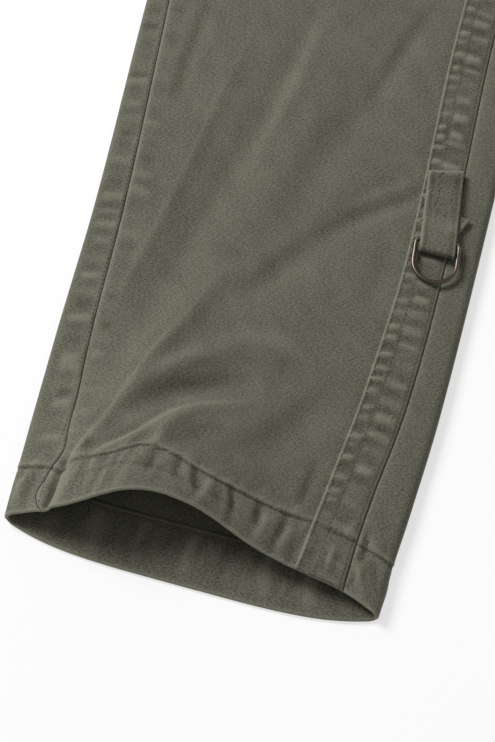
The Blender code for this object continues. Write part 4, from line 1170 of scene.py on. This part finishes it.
def sew(leg, thread):
    """All rows of stitches of one leg."""
    side = leg.name
    for inset, hidden in ((1.6, False), (TAPE_MIDDLE, True), (-2.6, True)):
        whole = ((1.5, TAPE_TOP - 3.0),)
        around_tab = ((1.5, TAB_LOW - 4.0), (TAB_TOP + 2.0, TAPE_TOP - 3.0))
        for low, high in around_tab if hidden else whole:
            rows = even(low, high, 12.0)
            row = rows_at(rows)
            width = row.tape if inset > 0.0 else 0.0
            shift = -width * (1.0 - inset) if hidden and inset > 0.0 else inset - width
            add_stitches("stitches_tape_" + side, leg, row.half - row.seam_out + shift, rows, GAP + STRIP,
                         thread,
                         "tape_" + side + "_cloth")
    rows = even(1.5, CROTCH - 10.0, 12.0)
    row = rows_at(rows)
    add_stitches("stitches_inseam_" + side, leg, row.seam_in - 1.9, rows, 0.0, thread,
                 "back_" + side + "_cloth")
    sew_tab(leg, thread)
    row = rows_at(np.full(120, HEM_STITCH))
    around = np.linspace(0.0, 1.0, 120) * (2.0 * row.half - 1.0) + row.seam_in
    across, _, facing = section(row, around)
    low = hem_height(leg, across, facing > 0.0)
    add_stitches("stitches_hem_" + side, leg, around, low, -0.1, thread, "front_" + side + "_cloth")
    low = np.where(facing > 0.0, low, HEM_DEPTH - 2.6)
    add_stitches("stitches_hem_inside_" + side, leg, around, low, -2.0 * HEM_ROLL - 0.7, thread,
                 "hem_" + side + "_cloth")
    rows = even(POCKET_TOP, WAIST_SEAM - 4.0, 12.0)
    row = rows_at(rows)
    add_stitches("stitches_outseam_" + side, leg, row.half - row.seam_out + 2.0, rows, 0.0, thread,
                 "back_" + side + "_cloth")
    inner, outer = pocket_edges(np.array([POCKET_LOW + 3.0]))
    rows = np.linspace(FLAP_LOW, POCKET_LOW + 3.0, 12)
    inner, outer = pocket_edges(rows)
    name = "stitches_pocket_" + side
    on = "cargo_pocket_" + side + "_cloth"
    for inset in (2.0, 7.0):
        share = inset / POCKET_WIDTH
        out = GAP + CLOTH
        height = out + float(puff(np.array([share]), np.array([560.0]))[0])
        add_stitches(name, leg, inner + inset, rows, height, thread, on)
        add_stitches(name, leg, outer - inset, rows, height, thread, on)
        low = np.full(14, POCKET_LOW + inset)
        inner_low, outer_low = pocket_edges(low)
        across = np.linspace(share, 1.0 - share, 14)
        add_stitches(name, leg, lerp(inner_low, outer_low, across), low, out + 0.1, thread, on)


# Finish
def value(tree, kind, operation=None, **settings):
    node = tree.nodes.new(kind)
    if operation:
        node.operation = operation
    for key, setting in settings.items():
        setattr(node, key, setting)
    return node


def put(tree, source, target):
    """Joins a socket, or sets a constant on it."""
    if isinstance(source, bpy.types.NodeSocket):
        tree.links.new(source, target)
    elif isinstance(source, tuple):
        lacks_alpha = len(source) == 3 and len(target.default_value) == 4
        target.default_value = (*source, 1.0) if lacks_alpha else source
    else:
        target.default_value = source


def maths(tree, operation, first, second=0.0, third=0.0):
    node = value(tree, "ShaderNodeMath", operation)
    for index, item in enumerate((first, second, third)):
        put(tree, item, node.inputs[index])
    return node.outputs[0]


def noise(tree, vector, scale, detail, roughness):
    node = tree.nodes.new("ShaderNodeTexNoise")
    put(tree, vector, node.inputs["Vector"])
    put(tree, scale, node.inputs["Scale"])
    put(tree, detail, node.inputs["Detail"])
    put(tree, roughness, node.inputs["Roughness"])
    return node.outputs[0]


def spread(tree, source, low, high, start=0.0, end=1.0):
    node = tree.nodes.new("ShaderNodeMapRange")
    put(tree, source, node.inputs["Value"])
    for name, setting in (("From Min", low), ("From Max", high), ("To Min", start), ("To Max", end)):
        put(tree, setting, node.inputs[name])
    return node.outputs[0]


def turned(tree, vector, angle, scale):
    node = tree.nodes.new("ShaderNodeMapping")
    put(tree, vector, node.inputs["Vector"])
    node.inputs["Rotation"].default_value = (0.0, 0.0, math.radians(angle))
    node.inputs["Scale"].default_value = scale
    return node.outputs[0]


def blend_colour(tree, share, first, second):
    node = tree.nodes.new("ShaderNodeMix")
    node.data_type = "RGBA"
    put(tree, share, node.inputs[0])
    put(tree, first, node.inputs[6])
    put(tree, second, node.inputs[7])
    return node.outputs[2]


def new_group(name, inputs, outputs):
    group = bpy.data.node_groups.new(name, "ShaderNodeTree")
    for label, kind, start in inputs:
        socket = group.interface.new_socket(label, in_out="INPUT", socket_type=kind)
        if start is not None:
            socket.default_value = start
    for label, kind in outputs:
        group.interface.new_socket(label, in_out="OUTPUT", socket_type=kind)
    return group, group.nodes.new("NodeGroupInput"), group.nodes.new("NodeGroupOutput")


def twill_group():
    """Washed cotton twill: diagonal ribs, uneven dye, and a tone set lighter or darker per point: lighter
    where rubbed on edges and proud places, with painted shade in hollows and stitch grooves and painted
    highlights on some edges.
    """
    group, entry, leave = new_group(
        "washed_twill",
        (("Place", "NodeSocketVector", None), ("Wear", "NodeSocketFloat", 0.0),
         ("Dark", "NodeSocketColor", (0.1, 0.1, 0.08, 1.0)),
         ("Light", "NodeSocketColor", (0.18, 0.17, 0.14, 1.0))),
        (("Color", "NodeSocketColor"), ("Roughness", "NodeSocketFloat"), ("Height", "NodeSocketFloat")),
    )
    place, wear = entry.outputs["Place"], entry.outputs["Wear"]
    cloud = noise(group, place, 28.0, 3.0, 0.55)
    patch = noise(group, place, 130.0, 3.0, 0.6)
    streak = noise(group, turned(group, place, 27.0, (0.75, 1.35, 1.0)), 760.0, 2.0, 0.7)
    grain = noise(group, place, 1500.0, 2.0, 0.7)
    rib = value(group, "ShaderNodeTexWave")
    rib.wave_type = "BANDS"
    rib.bands_direction = "DIAGONAL"
    put(group, place, rib.inputs["Vector"])
    put(group, 390.0, rib.inputs["Scale"])
    put(group, 3.0, rib.inputs["Distortion"])
    put(group, 2.0, rib.inputs["Detail"])
    put(group, 3.0, rib.inputs["Detail Scale"])
    tone = maths(group, "MULTIPLY_ADD", spread(group, cloud, 0.3, 0.7), 0.10, -0.12)
    tone = maths(group, "MULTIPLY_ADD", spread(group, patch, 0.3, 0.7), 0.07, tone)
    tone = maths(group, "MULTIPLY_ADD", spread(group, streak, 0.34, 0.66), 0.62, tone)
    tone = maths(group, "MULTIPLY_ADD", spread(group, grain, 0.34, 0.66), 0.46, tone)
    # Lighter or darker by the per-point tone: wear on edges and proud places, painted shade in hollows and
    # stitch grooves, painted highlights on some edges.
    tone = maths(group, "MULTIPLY_ADD", wear, 0.22, tone)
    put(group, blend_colour(group, tone, entry.outputs["Dark"], entry.outputs["Light"]),
        leave.inputs["Color"])
    rough = maths(group, "MULTIPLY_ADD", grain, 0.08, 0.82)
    put(group, rough, leave.inputs["Roughness"])
    height = maths(group, "MULTIPLY_ADD", streak, 0.55, maths(group, "MULTIPLY", rib.outputs["Fac"], 0.35))
    height = maths(group, "MULTIPLY_ADD", grain, 0.35, height)
    put(group, height, leave.inputs["Height"])
    return group


def surface_of(name):
    material = bpy.data.materials.new(name)
    material.use_nodes = True
    return material, material.node_tree, material.node_tree.nodes["Principled BSDF"]


def add_bump(tree, surface, height, strength, distance):
    bump = tree.nodes.new("ShaderNodeBump")
    put(tree, strength, bump.inputs["Strength"])
    put(tree, distance, bump.inputs["Distance"])
    put(tree, height, bump.inputs["Height"])
    put(tree, bump.outputs["Normal"], surface.inputs["Normal"])


def cloth_material(name, group, dark, light):
    material, tree, surface = surface_of(name)
    place = tree.nodes.new("ShaderNodeUVMap")
    place.uv_map = "UVMap"
    # Reads the per-point tone: wear together with painted shade and painted highlights.
    wear = tree.nodes.new("ShaderNodeAttribute")
    wear.attribute_name = "wear"
    use = tree.nodes.new("ShaderNodeGroup")
    use.node_tree = group
    put(tree, place.outputs["UV"], use.inputs["Place"])
    put(tree, wear.outputs["Fac"], use.inputs["Wear"])
    put(tree, dark, use.inputs["Dark"])
    put(tree, light, use.inputs["Light"])
    put(tree, use.outputs["Color"], surface.inputs["Base Color"])
    put(tree, use.outputs["Roughness"], surface.inputs["Roughness"])
    put(tree, 0.12, surface.inputs["Specular IOR Level"])
    put(tree, 0.10, surface.inputs["Sheen Weight"])
    put(tree, 0.45, surface.inputs["Sheen Roughness"])
    add_bump(tree, surface, use.outputs["Height"], 0.45, 0.00022)
    return material


def object_place(tree):
    return tree.nodes.new("ShaderNodeTexCoord").outputs["Object"]


def thread_material():
    material, tree, surface = surface_of("sewing_thread")
    place = object_place(tree)
    fine = noise(tree, place, 2600.0, 2.0, 0.6)
    slow = noise(tree, place, 420.0, 2.0, 0.6)
    tone = maths(tree, "MULTIPLY_ADD", slow, 0.6, maths(tree, "MULTIPLY", fine, 0.5))
    put(tree, blend_colour(tree, tone, (0.055, 0.052, 0.034), (0.210, 0.200, 0.150)),
        surface.inputs["Base Color"])
    put(tree, spread(tree, fine, 0.3, 0.7, 0.62, 0.80), surface.inputs["Roughness"])
    add_bump(tree, surface, fine, 0.4, 0.0001)
    return material


def metal_material():
    material, tree, surface = surface_of("dull_metal")
    place = object_place(tree)
    patch = noise(tree, place, 160.0, 3.0, 0.6)
    fine = noise(tree, place, 1400.0, 3.0, 0.65)
    tone = maths(tree, "MULTIPLY_ADD", patch, 0.7, maths(tree, "MULTIPLY", fine, 0.35))
    put(tree, blend_colour(tree, tone, (0.085, 0.068, 0.055), (0.26, 0.215, 0.18)),
        surface.inputs["Base Color"])
    put(tree, spread(tree, patch, 0.3, 0.7, 0.34, 0.48), surface.inputs["Roughness"])
    put(tree, 1.0, surface.inputs["Metallic"])
    add_bump(tree, surface, fine, 0.25, 0.00008)
    return material


def resin_material():
    material, tree, surface = surface_of("button_resin")
    place = object_place(tree)
    cloud = noise(tree, place, 190.0, 3.0, 0.6)
    fine = noise(tree, place, 1800.0, 2.0, 0.6)
    put(tree, blend_colour(tree, spread(tree, cloud, 0.3, 0.7), (0.035, 0.034, 0.026),
                           (0.080, 0.076, 0.056)), surface.inputs["Base Color"])
    put(tree, spread(tree, fine, 0.3, 0.7, 0.34, 0.48), surface.inputs["Roughness"])
    add_bump(tree, surface, fine, 0.15, 0.00006)
    return material


def floor_material():
    material, tree, surface = surface_of("paper_white")
    place = object_place(tree)
    cloud = noise(tree, place, 3.0, 2.0, 0.5)
    put(tree, blend_colour(tree, cloud, (0.41, 0.41, 0.412), (0.43, 0.43, 0.432)),
        surface.inputs["Base Color"])
    put(tree, 0.95, surface.inputs["Roughness"])
    put(tree, (0.64, 0.638, 0.64), surface.inputs["Emission Color"])
    put(tree, 1.0, surface.inputs["Emission Strength"])
    put(tree, 0.0, surface.inputs["Specular IOR Level"])
    return material


FLOOR_HALF = 4.0
EYE_TARGET = Vector((0.2234, -0.3776, 0.0))
EYE_AZIMUTH = math.radians(20.59)
EYE_ELEVATION = math.radians(62.0)
EYE_DISTANCE = 1.0
EYE_FIELD = math.radians(24.9)


def add_floor():
    maker = bmesh.new()
    bmesh.ops.create_grid(maker, x_segments=8, y_segments=8, size=FLOOR_HALF)
    bmesh.ops.translate(maker, verts=maker.verts, vec=(0.0, 0.0, -0.0001))
    mesh = bpy.data.meshes.new("floor")
    maker.to_mesh(mesh)
    maker.free()
    mesh.materials.append(floor_material())
    floor = bpy.data.objects.new("floor", mesh)
    bpy.context.scene.collection.objects.link(floor)


def add_light(name, place, size, power):
    lamp = bpy.data.lights.new(name, "AREA")
    lamp.shape = "SQUARE"
    lamp.size = size
    lamp.energy = power
    made = bpy.data.objects.new(name, lamp)
    made.location = place
    made.rotation_euler = (EYE_TARGET - Vector(place)).to_track_quat("-Z", "Y").to_euler()
    bpy.context.scene.collection.objects.link(made)


def set_stage():
    add_floor()
    world = bpy.data.worlds.new("studio")
    world.use_nodes = True
    world.node_tree.nodes["Background"].inputs["Color"].default_value = (1.0, 1.0, 1.0, 1.0)
    world.node_tree.nodes["Background"].inputs["Strength"].default_value = 0.28
    bpy.context.scene.world = world
    right = Vector((math.cos(EYE_AZIMUTH), math.sin(EYE_AZIMUTH), 0.0))
    up = Vector((-math.sin(EYE_AZIMUTH), math.cos(EYE_AZIMUTH), 0.0))
    add_light("key", EYE_TARGET - right * 2.4 + up * 2.1 + Vector((0.0, 0.0, 2.8)), 1.6, 152.0)
    eye = bpy.data.cameras.new("eye")
    eye.sensor_fit = "VERTICAL"
    eye.angle = EYE_FIELD
    camera = bpy.data.objects.new("eye", eye)
    back = Vector((math.sin(EYE_AZIMUTH) * math.cos(EYE_ELEVATION),
                   -math.cos(EYE_AZIMUTH) * math.cos(EYE_ELEVATION),
                   math.sin(EYE_ELEVATION)))
    camera.location = EYE_TARGET + back * EYE_DISTANCE
    camera.rotation_euler = (-back).to_track_quat("-Z", "Y").to_euler()
    bpy.context.scene.collection.objects.link(camera)
    bpy.context.scene.camera = camera
    bpy.context.scene.view_settings.view_transform = "Standard"


def build():
    twill = twill_group()
    cloth = cloth_material("garment_cloth", twill, (0.060, 0.061, 0.043), (0.227, 0.224, 0.170))
    thread = thread_material()
    metal = metal_material()
    resin = resin_material()
    for leg in (LEFT, RIGHT):
        add_panels(leg, cloth)
        add_hem(leg, cloth)
        add_tape(leg, cloth)
        add_tab(leg, cloth)
        add_ring(leg, metal)
        add_cargo_pocket(leg, cloth, resin, thread)
        add_hand_pocket(leg, cloth)
        sew(leg, thread)
    add_fly(cloth)
    add_waistband(cloth)
    add_belt_loops(cloth)
    half = (WAIST_SEAM + WAIST_TOP) / 2.0
    add_button("waist_button", RIGHT, LAP / 2.0, half, WALL + 2.0 * GAP, resin, thread)
    build_stitches()
    set_stage()


build()
bpy.context.view_layer.update()
